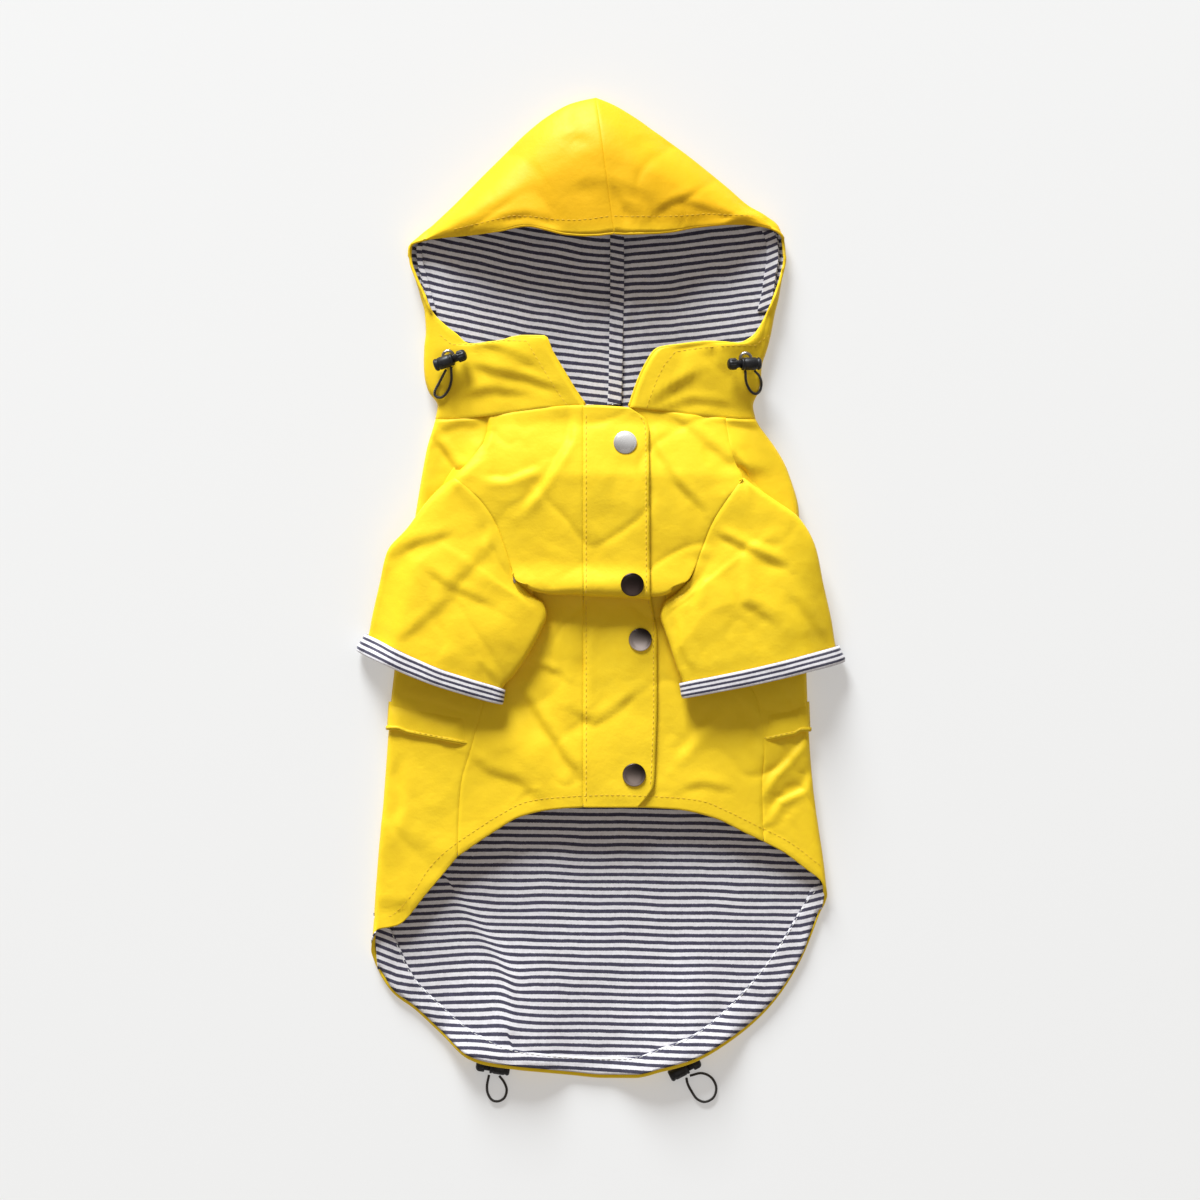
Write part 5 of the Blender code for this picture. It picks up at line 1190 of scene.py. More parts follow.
def build_front_pieces(yellow, striped):
    """Both fronts and the placket. Gives the placket's cloth, which the snaps sit on."""
    columns = [
        [mix(PLACKET_LEFT - SEAM_GAP, x, share) for share in LEFT_SHARES]
        for x in front_outer_edge(-1)
    ]
    rights = [through(PLACKET, "y", "right", y) for y, _, _, _ in front_profile(PLACKET_SAMPLE_X)]
    strip = [[mix(PLACKET_LEFT, right, share) for share in STRIP_SHARES] for right in rights]
    under = [
        [PLACKET_LEFT + PLACKET_LAP] + xs[1:] + [mix(xs[-1], x, share) for share in RIGHT_SHARES]
        for xs, x in zip(strip, front_outer_edge(1))
    ]
    jobs = (
        ("front_left", columns, left_rise, ARCH_ROLL, ("top", "left", "right"), (0.072, 0.262, 0.0157)),
        ("placket", strip, lambda x, row: LAYER_GAP + CLOTH, 0.5, ("left",), (0.0445, 0.236, 0.0105)),
        ("front_right", under, lambda x, row: 0.0, ARCH_ROLL, ("top", "right"), (0.100, 0.254, 0.0212)),
    )
    made = {}
    for node, spread, rise, roll, seams, cut in jobs:
        coarse = front_grid(spread, rise)
        grid = finer(rolled(coarse, np.broadcast_to(DOWN, coarse[-1].shape), roll, ROLL_INSIDE))
        x, y, z = grid[..., 0], grid[..., 1], grid[..., 2]
        chest = np.clip((z - CHEST_FROM) / 5.0, 0, 1)
        at_fold = np.exp(-(((y - 2.0) / FOLD_REACH) ** 2))
        z += FOLD_PUFF * chest * at_fold * (1 + 0.4 * lattice(x, y, 18.0, 41))
        z -= BELLY_TUCK * (1 - chest) * np.exp(-(((y + 9.0) / FOLD_REACH) ** 2))
        still = np.clip((edge_reach(grid, ("bottom",)) - ROLL_INSIDE - 3.0) / 12.0, 0, 1)
        still = still * (1 - at_fold * 0.75)
        grid, normals, turned = dressed(grid, "b", seams, still, sewn_share(grid, ROLL_INSIDE + 2.5))
        cloth = cloth_object(f"{node}_cloth", grid, yellow, YELLOW_WALL, phase=striped_phase(grid),
                             lining=striped, inner=normals, turned=turned)
        made[node] = piece(cloth, [node])
    return made["placket"]


CUFF_STRIPES = 3.15  # stripes over a cuff's width
CUFF_BOW = {"left": 2.6, "right": 1.2}  # how far the middle of a cuff hangs below its ends
BOW_SHARES = ((-4, 0.25), (-3, 0.7), (-2, 1.0), (-1, 1.0))  # ring, share of the bow


def bowed(rings, sag):
    """The sleeve's rings with the middle of the last ones hanging lower, more to the inner side."""
    rings = rings.copy()
    run = rings[-1].mean(axis=0) - rings[-2].mean(axis=0)
    run[2] = 0
    run /= np.linalg.norm(run)
    across = np.array([run[1], -run[0], 0.0])
    for row, share in BOW_SHARES:
        reach = rings[row] @ across
        reach = (reach - reach.min()) / (reach.max() - reach.min())
        rings[row] += run * (sag * share * np.sin(np.pi * reach) ** 1.3)[:, None]
    return rings


# The underarm's cloth, row by row: Y, height over the body, and what rises on top of that by column.
UNDERARM = [(12.0, 5.2, 1.6), (8.0, 4.9, 2.6), (4.0, 4.0, 0.9), (0.0, 2.6, 0.0), (-4.0, 1.2, 0.0),
            (-9.0, 0.4, 0.0)]
UNDERARM_COLUMNS = [(13.0, 0.0), (8.0, 0.45), (3.0, 1.0), (-3.0, 0.8)]  # beyond the fold's end, share


def underarm(side, yellow):
    """The cloth that shows in the slit between the chest's fold and the sleeve."""
    sign = -1 if side == "left" else 1
    fold_end = CHEST_FOLD_LEFT if sign < 0 else CHEST_FOLD_RIGHT
    columns = [(fold_end + sign * off, share) for off, share in UNDERARM_COLUMNS]
    rows = [[(x, y, body_top(x, y) + lift + rise * share + 0.5 * math.sin(x * 0.9 + y * 0.7))
             for x, share in columns] for y, lift, rise in UNDERARM]
    piece(cloth_object(f"underarm_{side}_cloth", finer(rows, 1.2), yellow, YELLOW_WALL), [])


# The shoulder's cloth between the back and the sleeve: a line on the back's edge, its height there,
# and the height under the sleeve.
SHOULDER = {
    "left": named_rows("x y low high", [
        (-78.6, 73, 10.2, 9.9), (-81.6, 68, 9.3, 13.5), (-84.6, 63.5, 8.2, 14.0), (-87, 59, 7.8, 11.5),
        (-89, 54, 7.5, 11.4), (-92, 49, 7.2, 11.0), (-96.6, 43, 6.8, 10.4),
    ]),
    "right": named_rows("x y low high", [
        (75, 73, 11.2, 11.0), (78.5, 68.5, 11.0, 14.3), (82.5, 63.5, 10.2, 13.1), (86.5, 58.5, 9.7, 12.4),
        (91, 54, 9.4, 11.9), (95.5, 49, 9.3, 11.3), (101, 43, 8.8, 10.8),
    ]),
}
# Away from that line: distance, share of the way to the upper height, and a bulge.
SHOULDER_REACH = [(-1.0, 0.0, 0.15), (-3.2, 0.18, 0.25), (-5.5, 0.7, 0.2), (-8.5, 0.97, 0.0),
                  (-12.0, 1.0, -0.2)]
SHOULDER_AWAY = (0.75, 0.66)


def shoulder(side, yellow):
    """The cloth that closes the shoulder between the back and the sleeve."""
    sign = -1 if side == "left" else 1
    away = Vector((sign * SHOULDER_AWAY[0], SHOULDER_AWAY[1]))
    rows = [[(p.x + away.x * off, p.y + away.y * off, mix(p.low, p.high, share) + lift)
             for off, share, lift in SHOULDER_REACH] for p in SHOULDER[side]]
    piece(cloth_object(f"shoulder_{side}_cloth", finer(rows), yellow, YELLOW_WALL), [])


def build_sleeve_pieces(side, table, yellow, striped):
    """A sleeve and the striped cuff turned up over its end."""
    coarse = np.array([sleeve_ring(s, i == 0) for i, s in enumerate(sleeve_sections(table, side))])
    coarse = bowed(coarse, CUFF_BOW[side])
    grid = finer(coarse, ring=True)
    end = edge_reach(grid, ("bottom",))
    cuff_width = np.linalg.norm(coarse[-1] - coarse[-2], axis=1).mean()
    still = np.clip((end - cuff_width - 1.0) / 10.0, 0, 1)
    start = edge_reach(grid, ("top",))
    top = np.clip(outward(grid, directions(grid, True), True)[..., 2], 0, 1)
    grid[..., 2] += relief(grid[..., 0], grid[..., 1], "b") * (1 - np.clip(start / 14.0, 0, 1)) * top
    still = still * np.clip(start / 8.0, 0.0, 1)
    grid, normals, turned = dressed(grid, "s", ("top",), still, sewn_share(grid, -9.0), ring=True)
    sleeve = cloth_object(f"sleeve_{side}_cloth", grid, yellow, YELLOW_WALL, ring=True,
                          phase=striped_phase(grid), lining=striped, inner=normals, turned=turned)
    piece(sleeve, [f"sleeve_{side}"])

    over = tube_offset(coarse, LAYER_GAP + CLOTH)[-2:]
    over[1, :, :2] += (over[1, :, :2] - over[0, :, :2]) * CUFF_FLARE
    over[0] += (over[0] - over[1]) * 0.02
    inside = tube_offset(coarse, 0.0)[-1] - tube_offset(coarse, 1.0)[-1]
    inside /= np.linalg.norm(inside, axis=1, keepdims=True)
    band = np.stack([over[0], over[0] * 0.5 + over[1] * 0.5, over[1]])
    grid = finer(rolled(band, inside, 0.7, 7.0), 1.3, ring=True)
    x, y = grid[..., 0], grid[..., 1]
    steps = np.linalg.norm(np.diff(grid, axis=0), axis=2).mean(axis=1)
    run = np.concatenate([[0], np.cumsum(steps)])
    phase = np.broadcast_to((run / cuff_width * CUFF_STRIPES * STRIPE_PITCH)[:, None], x.shape)
    phase = phase + 0.25 * lattice(x, y, 12.0, 81) + 0.6
    normals = outward(grid, directions(grid, True), True)
    puff = (0.25 + 0.3 * lattice(x, y, 10.0, 82))[..., None]
    grid = grid + normals * puff * (run < cuff_width)[:, None, None]
    cuff = cloth_object(f"cuff_{side}_cloth", grid, striped, STRIPED_WALL, ring=True, phase=phase)
    piece(cuff, [f"cuff_{side}"])


# How far the hood lining's stripes lie below the level, at each X: they fall to the middle.
HOOD_STRIPES = [(-105, 0.0), (-40, 14.3), (-10, 19.1), (4, 20.6), (12, 20.4), (40, 18.2), (100, 10.4)]

# Soft ridges and hollows of the hood lining: route, height, width.
HOOD_LINING_RIDGES = [
    ([(19, 196), (17, 178), (15, 160), (13, 140)], 2.6, 3.2),
    ([(34, 192), (29, 165), (24, 142)], 0.8, 5.0),
    ([(-24, 176), (-12, 166), (0, 150)], 1.6, 3.0),
    ([(-30, 190), (-16, 172), (-8, 156)], -0.5, 5.0),
    ([(-60, 180), (-48, 165), (-30, 158)], 0.7, 7.0),
]
RIM_RADIUS = 0.85  # rolled edge of the hood's opening
RIM_INSIDE = 0.75


def build_hood_pieces(side, table, yellow, striped):
    """A hood half's shell, its rolled opening edge, its lining and the facing band."""
    sign = -1 if side == "left" else 1
    coarse = hood_grid(table, sign, 0.0)
    grid = finer(coarse)
    normals = directions(grid)
    flat = grid.shape[1] // 8
    if normals[grid.shape[0] // 2, flat, 2] > 0:
        normals = -normals
    reach = edge_reach(grid, ("left", "right"))
    up = np.clip(normals[..., 2], 0, 1) ** FACING_ROUND
    move = relief(grid[..., 0], grid[..., 1], "h") * up
    move -= seam_dip(grid, ("top", "bottom")) * up
    still = np.clip(reach / 6.0, 0.25, 1)
    grid = grid + normals * (move * still)[..., None]
    edge = grid[:, -1] - normals[:, -1] * RIM_INSIDE
    grid, normals, turned = tucked(grid, normals, ("top", "bottom", "left"))
    shell = cloth_object(f"hood_{side}_shell", grid, yellow, YELLOW_WALL,
                         phase=striped_phase(grid), lining=striped, inner=normals, turned=turned)
    clean_mesh(shell)
    piece(shell, [f"hood_{side}"])
    piece(tube(f"hood_{side}_edge", edge, RIM_RADIUS, yellow), [])

    low = CLOTH + SEAM_GAP + LINING
    lined = hood_grid(table, sign, low, last_row=HOOD_LINED_ROWS, columns=len(HOOD_FLAT_SHARES) + 1)
    grid = finer(lined)
    x, y = grid[..., 0], grid[..., 1]
    lift = 0.5 * lattice(x, y, 28.0, 91) + 0.18 * lattice(x, y, 12.0, 92)
    for away_route, height, width in HOOD_LINING_RIDGES:
        away, _, share = beside(x, y, away_route)
        lift += height * np.exp(-((away / width) ** 2)) * np.clip(np.minimum(share, 1 - share) * 5, 0, 1)
    reach = edge_reach(grid, ("left", "right", "top", "bottom"))
    grid[..., 2] += np.maximum(lift, -0.4) * np.clip(reach / 8.0, 0, 1)
    across = np.interp(x, *zip(*HOOD_STRIPES))
    phase = y + across + 0.45 * lattice(x, y, 20.0, 93) + 0.2 * lattice(x, y, 8.0, 94)
    lining = cloth_object(f"hood_{side}_lining", grid, striped, STRIPED_WALL, phase=phase)
    piece(lining, [f"hood_lining_{side}"])

    low += SEAM_GAP + TRIM
    faced = hood_grid(table, sign, low, *HOOD_FACED_ROWS, FACING_SHARE, len(HOOD_FLAT_SHARES) + 1)
    faced[:, 0] = mix(faced[:, 0], faced[:, 1], 0.75 if sign < 0 else 0.3)
    grid = finer(faced, 0.8)
    x, y = grid[..., 0], grid[..., 1]
    grid[..., 2] += 0.25 * lattice(x, y, 7.0, 95)
    phase = y + (0.06 if sign < 0 else -0.45) * x + 0.3 * lattice(x, y, 9.0, 96)
    band = cloth_object(f"hood_{side}_casing", grid, striped, STRIPED_WALL, phase=phase)
    piece(band, [f"hood_facing_{side}"])


def clean_mesh(made):
    """Merges the points that fall together where a grid's cells shrink to nothing."""
    bm = bmesh.new()
    bm.from_mesh(made.data)
    bmesh.ops.remove_doubles(bm, verts=bm.verts, dist=0.05 * MM)
    bmesh.ops.dissolve_degenerate(bm, edges=bm.edges, dist=0.02 * MM)
    bm.to_mesh(made.data)
    bm.free()
    made.data.shade_smooth()


def tube(name, path, radius, finish, ring=8):
    """A round tube along a path in millimetres, with its own measures along and around."""
    path = [Vector(p) for p in path]
    kept = [path[0]]
    for point in path[1:]:
        if (point - kept[-1]).length > 0.3:
            kept.append(point)
    path = kept
    side = None
    points, along, around, run = [], [], [], 0.0
    for index, spot in enumerate(path):
        before, after = path[max(index - 1, 0)], path[min(index + 1, len(path) - 1)]
        tangent = (after - before).normalized()
        if side is None:
            side = tangent.orthogonal().normalized()
        side = (side - tangent * side.dot(tangent)).normalized()
        other = tangent.cross(side)
        if index:
            run += (spot - path[index - 1]).length
        for turn in range(ring):
            angle = 2 * math.pi * turn / ring
            points.append(spot + (side * math.cos(angle) + other * math.sin(angle)) * radius)
            along.append(run)
            around.append(turn / ring)
    faces = [
        [r * ring + t, r * ring + (t + 1) % ring, (r + 1) * ring + (t + 1) % ring, (r + 1) * ring + t]
        for r in range(len(path) - 1) for t in range(ring)
    ]
    last = (len(path) - 1) * ring
    faces += [list(range(ring))[::-1], [last + t for t in range(ring)]]
    made = join(name, [(points, faces)], finish)
    for key, values in (("along", along), ("around", around)):
        made.data.attributes.new(key, "FLOAT", "POINT").data.foreach_set("value", values)
    return made


STRIP_HALF = 3.8  # half of the seam strip's width


def build_seam_strip(striped):
    """The strip over the centre seam of the hood's lining."""
    top = CLOTH + LINING + 2 * SEAM_GAP + TRIM
    rows = [row for row in HOOD_LEFT[:HOOD_LINED_ROWS] if row.seam_y > 96]
    coarse = [[(row.seam_x + reach, row.seam_y, top) for reach in (-STRIP_HALF, 0, STRIP_HALF)]
              for row in rows]
    grid = finer(coarse, 1.0)
    x, y = grid[..., 0], grid[..., 1]
    grid[..., 2] += 0.3 + 0.3 * lattice(x, y, 9.0, 97)
    phase = y + 0.2 * (x - 8) + 0.5 * lattice(x, y, 10.0, 98) + 1.9
    made = cloth_object("hood_seam_strip", grid, striped, STRIPED_WALL, phase=phase)
    piece(made, ["hood_seam_tape"])


FLAP_SIDE = 115  # X at which a flap turns down over the side's fold
FLAP_OUTER = 107.0  # its outermost column on top


def build_flap_piece(side, table, yellow):
    """A pocket flap, sewn in at its upper edge and loose at its lower one."""
    sign = -1 if side == "left" else 1
    inner = max(row.x for row in table) if sign < 0 else min(row.x for row in table)
    xs = [mix(sign * FLAP_OUTER, inner, share) for share in (0, 0.35, 0.7, 1)]
    spots = [("nose", math.radians(a)) for a in (25, 55, 90)] + [("top", x) for x in xs]
    offset = LAYER_GAP + CLOTH

    def point(spot, fraction):
        kind, value = spot
        x = sign * FLAP_SIDE if kind == "nose" else value
        y = mix(through(table, "x", "upper", x), through(table, "x", "lower", x), fraction)
        if kind == "top":
            return (x, y, body_top(x, y) + offset)
        edge = side_left(y) if sign < 0 else side_right(y)
        radius = FOLD_RADIUS + offset
        return (edge - sign * FOLD_RADIUS + sign * radius * math.cos(value), y,
                FOLD_RADIUS + radius * math.sin(value))

    fractions = (0, 0.25, 0.5, 0.75, 1)
    coarse = np.array([[point(spot, fraction) for spot in spots] for fraction in fractions])
    grid = finer(rolled(coarse, np.broadcast_to(DOWN, coarse[-1].shape), 0.4, 2.0), 1.2)
    x, y = grid[..., 0], grid[..., 1]
    low = edge_reach(grid, ("bottom",))
    grid[..., 2] += relief(x, y, "b")
    lift = np.exp(-((low / 7.0) ** 2)) * (0.55 + 0.7 * np.clip(lattice(x, y, 15.0, 101 + sign), -1, 1))
    grid[..., 2] += np.maximum(lift, 0)
    joined = edge_reach(grid, ("top", "right"))
    grid[..., 2] -= (offset + 0.6) * np.exp(-((joined / 5.0) ** 2))
    made = cloth_object(f"flap_{side}_cloth", grid, yellow, FLAP_WALL)
    piece(made, [f"flap_{side}"])


# ---------------------------------------------------------------- materials
class Finish:
    """A node material in the making."""

    def __init__(self, name, **sockets):
        self.made = bpy.data.materials.new(name)
        self.made.use_nodes = True
        self.tree = self.made.node_tree
        self.shader = self.tree.nodes["Principled BSDF"]
        for key, value in sockets.items():
            self.shader.inputs[key.replace("_", " ")].default_value = value

    def feed(self, socket, value):
        """Links a socket's value, or sets it where the value is plain."""
        if isinstance(value, bpy.types.NodeSocket):
            self.tree.links.new(value, socket)
        else:
            socket.default_value = value

    def node(self, kind, **inputs):
        made = self.tree.nodes.new("ShaderNode" + kind)
        for key, value in inputs.items():
            self.feed(made.inputs[key.replace("_", " ")], value)
        return made

    def object_place(self):
        """The place in the object's own coordinates, in metres."""
        return self.node("TexCoord").outputs["Object"]

    def attribute(self, name):
        made = self.node("Attribute")
        made.attribute_name = name
        return made.outputs["Fac"]

    def maths(self, operation, *values):
        made = self.node("Math")
        made.operation = operation
        for socket, value in zip(made.inputs, values):
            self.feed(socket, value)
        return made.outputs[0]

    def mixed(self, factor, first, second):
        """From the first colour to the second by the factor. Plain colours have no alpha."""
        made = self.node("Mix")
        made.data_type = "RGBA"
        for at, value in ((0, factor), (6, first), (7, second)):
            self.feed(made.inputs[at], (*value, 1) if isinstance(value, tuple) else value)
        return made.outputs[2]

    def ramp(self, value, low, high):
        """0 below low and 1 above high."""
        made = self.node("MapRange")
        made.interpolation_type = "SMOOTHSTEP"
        self.tree.links.new(value, made.inputs[0])
        made.inputs[1].default_value, made.inputs[2].default_value = low, high
        return made.outputs[0]

    def noise(self, place, scale, detail=2.0, roughness=0.5):
        return self.node("TexNoise", Vector=place, Scale=scale, Detail=detail, Roughness=roughness).outputs[0]

    def threads(self, place, period, direction):
        """Fine ridges across one axis, a period in metres apart."""
        made = self.node("TexWave", Vector=place, Scale=math.pi / 10 / period, Distortion=0.6, Detail=1.0)
        made.bands_direction = direction
        return made.outputs[1]

    def link(self, value, socket):
        self.tree.links.new(value, self.shader.inputs[socket])

    def bump(self, height, strength, distance, under=None):
        made = self.node("Bump", Height=height, Strength=strength, Distance=distance)
        if under is not None:
            self.tree.links.new(under, made.inputs["Normal"])
        return made.outputs[0]


# Painted shade: above this Y the crown's yellow is painted darker and oranger, to offset how brightly the low
# light falls on its slopes.
CROWN_PAINTED_SHADE_Y = (0.186, 0.206)  # metres; the crown is tinted darker above this, to offset the low light


def yellow_cloth():
    """Coated yellow cloth, slightly uneven, with a fine weave, and painted shade over the hood's crown."""
    f = Finish("yellow_coated_cloth", Roughness=0.5, Specular_IOR_Level=0.18, Sheen_Weight=0.02,
               Sheen_Roughness=0.45)
    place = f.object_place()
    broad = f.noise(place, 14.0, 3.0)
    small = f.noise(place, 160.0, 3.0, 0.6)
    base = f.mixed(f.ramp(broad, 0.3, 0.7), (0.875, 0.575, 0.016), (0.895, 0.615, 0.020))
    base = f.mixed(f.ramp(small, 0.35, 0.75), base, (0.882, 0.595, 0.016))
    # Painted shade over the crown: above that Y the yellow gives way to the darker, oranger one below.
    crown = f.ramp(f.node("SeparateXYZ", Vector=place).outputs[1], *CROWN_PAINTED_SHADE_Y)
    painted_crown_shade = f.mixed(f.ramp(broad, 0.3, 0.7), (0.75, 0.405, 0.006), (0.77, 0.435, 0.008))
    base = f.mixed(crown, base, painted_crown_shade)
    f.link(base, "Base Color")
    f.link(f.maths("MULTIPLY_ADD", small, 0.14, 0.43), "Roughness")
    weave = f.maths("ADD", f.threads(place, 0.00042, "X"), f.threads(place, 0.00042, "Y"))
    pebble = f.noise(place, 900.0, 2.0)
    soft = f.noise(place, 240.0, 3.0, 0.55)
    normal = f.bump(soft, 0.25, 0.0006)
    normal = f.bump(pebble, 0.2, 0.0002, normal)
    normal = f.bump(weave, 0.25, 0.00006, normal)
    f.link(normal, "Normal")
    return f.made


NAVY_HALF = 0.24  # half of the navy's share of the pitch
STRIPE_BLUR = 0.035


def striped_cloth():
    """Knitted cotton with navy stripes across each piece's own phase."""
    f = Finish("striped_jersey", Roughness=0.85, Specular_IOR_Level=0.2, Sheen_Weight=0.25,
               Sheen_Roughness=0.6)
    place = f.object_place()
    phase = f.attribute("phase")
    fuzz = f.noise(place, 1500.0, 2.0)
    ragged = f.maths("MULTIPLY_ADD", fuzz, 0.5, phase)
    turn = f.maths("FRACT", f.maths("DIVIDE", ragged, STRIPE_PITCH))
    beside_middle = f.maths("ABSOLUTE", f.maths("SUBTRACT", turn, 0.5))
    from_edge = f.maths("SUBTRACT", 0.5, beside_middle)
    navy = f.ramp(from_edge, NAVY_HALF - STRIPE_BLUR, NAVY_HALF + STRIPE_BLUR)
    mottle = f.noise(place, 420.0, 3.0, 0.6)
    white = f.mixed(f.ramp(mottle, 0.3, 0.75), (0.72, 0.69, 0.72), (0.82, 0.795, 0.815))
    dark = f.mixed(f.ramp(mottle, 0.3, 0.75), (0.034, 0.030, 0.058), (0.060, 0.054, 0.095))
    f.link(f.mixed(navy, dark, white), "Base Color")
    ribs = f.threads(place, 0.0007, "X")
    courses = f.threads(place, 0.0005, "Y")
    normal = f.bump(f.maths("ADD", ribs, courses), 0.5, 0.00012)
    normal = f.bump(fuzz, 0.3, 0.00015, normal)
    f.link(normal, "Normal")
    return f.made


# The caps' painted reflection: each cap's colour runs from one tone to the other across it, along this lean.
REFLECTION_LEAN = -0.35
REFLECTION_HALF = 0.0055  # metres, half of the run from one tone to the other


def worn_surface(f, worn, roughness):
    """Metal's uneven roughness and fine dents."""
    f.link(f.maths("MULTIPLY_ADD", worn, 0.16, roughness - 0.08), "Roughness")
    f.link(f.bump(worn, 0.12, 0.00005), "Normal")
    return f.made


def cap_metal(name, top, bottom, roughness, snap, metallic=1.0):
    """A plated cap with a painted reflection, running from one tone on one side to the other."""
    f = Finish(name, Metallic=metallic, Roughness=roughness)
    place = f.object_place()
    split = f.node("SeparateXYZ", Vector=place)
    lean = f.maths("SUBTRACT", f.maths("MULTIPLY", split.outputs[0], REFLECTION_LEAN), split.outputs[1])
    lean = f.maths("ADD", lean, (snap.y - REFLECTION_LEAN * snap.x) * MM)
    worn = f.noise(place, 700.0, 4.0, 0.65)
    # Painted reflection: from the top tone to the bottom tone across the cap.
    f.link(f.mixed(f.ramp(lean, -REFLECTION_HALF, REFLECTION_HALF), top, bottom), "Base Color")
    return worn_surface(f, worn, roughness)


def metal(name, colour, roughness):
    f = Finish(name, Metallic=1.0, Roughness=roughness)
    place = f.object_place()
    worn = f.noise(place, 700.0, 4.0, 0.65)
    cloud = f.noise(place, 90.0, 2.0)
    darker = tuple(c * 0.8 for c in colour)
    f.link(f.mixed(f.ramp(cloud, 0.3, 0.7), darker, colour), "Base Color")
    return worn_surface(f, worn, roughness)


def lock_plastic():
    f = Finish("black_moulded_plastic", Base_Color=(0.012, 0.012, 0.013, 1), Roughness=0.42,
               Specular_IOR_Level=0.3)
    place = f.object_place()
    grain = f.noise(place, 2600.0, 2.0)
    scuff = f.noise(place, 350.0, 4.0, 0.7)
    f.link(f.mixed(f.ramp(scuff, 0.45, 0.85), (0.010, 0.010, 0.011), (0.035, 0.034, 0.034)), "Base Color")
    f.link(f.maths("MULTIPLY_ADD", scuff, 0.25, 0.28), "Roughness")
    f.link(f.bump(grain, 0.2, 0.00006), "Normal")
    return f.made


BRAID_TURNS = 0.9  # a millimetre
BRAID_STRANDS = 4.0  # each way round


def cord_cloth():
    f = Finish("braided_cord", Roughness=0.7, Specular_IOR_Level=0.3, Sheen_Weight=0.2)
    along, around = f.attribute("along"), f.attribute("around")
    strands = []
    for sign in (1, -1):
        turn = f.maths("MULTIPLY_ADD", along, BRAID_TURNS * sign, f.maths("MULTIPLY", around, BRAID_STRANDS))
        strands.append(f.maths("SINE", f.maths("MULTIPLY", turn, 2 * math.pi)))
    braid = f.maths("MAXIMUM", *strands)
    f.link(f.mixed(f.ramp(braid, 0.0, 1.0), (0.012, 0.011, 0.010), (0.055, 0.047, 0.040)), "Base Color")
    f.link(f.bump(braid, 0.6, 0.00015), "Normal")
    return f.made


def thread_finish(name, colour):
    f = Finish(name, Roughness=0.6, Sheen_Weight=0.2)
    place = f.object_place()
    twist = f.noise(place, 3000.0, 2.0)
    darker = tuple(c * 0.75 for c in colour)
    f.link(f.mixed(f.ramp(twist, 0.3, 0.7), darker, colour), "Base Color")
    f.link(f.bump(twist, 0.4, 0.0001), "Normal")
    return f.made


def floor_finish():
    f = Finish("studio_floor", Roughness=0.9, Specular_IOR_Level=0.1, Emission_Color=(1.0, 0.99, 0.98, 1),
               Emission_Strength=0.35)
    place = f.object_place()
    cloud = f.noise(place, 2.0, 2.0)
    f.link(f.mixed(cloud, (0.500, 0.498, 0.494), (0.506, 0.504, 0.500)), "Base Color")
    return f.made


# ---------------------------------------------------------------- camera, floor, light
PHOTO_WIDTH = 0.660  # what the frame's width covers at the surface, metres
PHOTO_CENTRE = (-0.0003, -0.0052)
CAMERA_HEIGHT = 6.0
SENSOR = 36.0
FLOOR_REACH, FLOOR_LEVEL = 6.0, -0.0003
# Lights: name, place in metres, size, energy, colour. All look at the origin.
LIGHTS = [
    ("key", (-2.2, 8.25, 3.0), 3.4, 1850.0, (0.97, 1.02, 1.06)),
    ("top", (0.15, -0.95, 2.1), 1.7, 5.5, (1.0, 1.0, 1.0)),
]
WORLD_COLOUR, WORLD_STRENGTH = (1.0, 0.91, 0.82, 1), 0.28


def build_stage():
    lens = bpy.data.cameras.new("camera")
    lens.sensor_width = SENSOR
    lens.lens = SENSOR * CAMERA_HEIGHT / PHOTO_WIDTH
    lens.clip_end = 50.0
    camera = placed("camera", lens)
    camera.location = (*PHOTO_CENTRE, CAMERA_HEIGHT)
    bpy.context.scene.camera = camera

    mesh = bpy.data.meshes.new("floor")
    corners = [(x * FLOOR_REACH, y * FLOOR_REACH, FLOOR_LEVEL)
               for x, y in ((-1, -1), (1, -1), (1, 1), (-1, 1))]
    mesh.from_pydata(corners, [], [(0, 1, 2, 3)])
    mesh.materials.append(floor_finish())
    placed("floor", mesh)

    for name, place, size, energy, colour in LIGHTS:
        light = bpy.data.lights.new(name, "AREA")
        light.shape = "SQUARE"
        light.size = size
        light.energy = energy
        light.color = colour
        made = placed(name, light)
        made.location = place
        made.rotation_euler = (-Vector(place)).to_track_quat("-Z", "Y").to_euler()
    world = bpy.data.worlds.new("studio")
    world.use_nodes = True
    for socket, value in zip(world.node_tree.nodes["Background"].inputs, (WORLD_COLOUR, WORLD_STRENGTH)):
        socket.default_value = value
    bpy.context.scene.world = world
    bpy.context.scene.view_settings.view_transform = "Standard"
    bpy.context.scene.view_settings.look = "None"


# ---------------------------------------------------------------- snaps, eyelets, locks, cords
# Each lock's middle in millimetres, and its direction from barrel to plunger.
LOCK_FRAMES = {
    "hood_left": ((-86.0, 125.2, 15.985), (0.925051, 0.336691, 0.175841)),
    "hood_right": ((82.6, 124.4, 15.77), (-0.975207, -0.017022, 0.220641)),
    "hem_left": ((-55.3, -262.6, 3.5), (-0.990268, 0.139173, 0.0)),
    "hem_right": ((42.9, -264.6, 3.5), (0.891007, 0.45399, 0.0)),
}


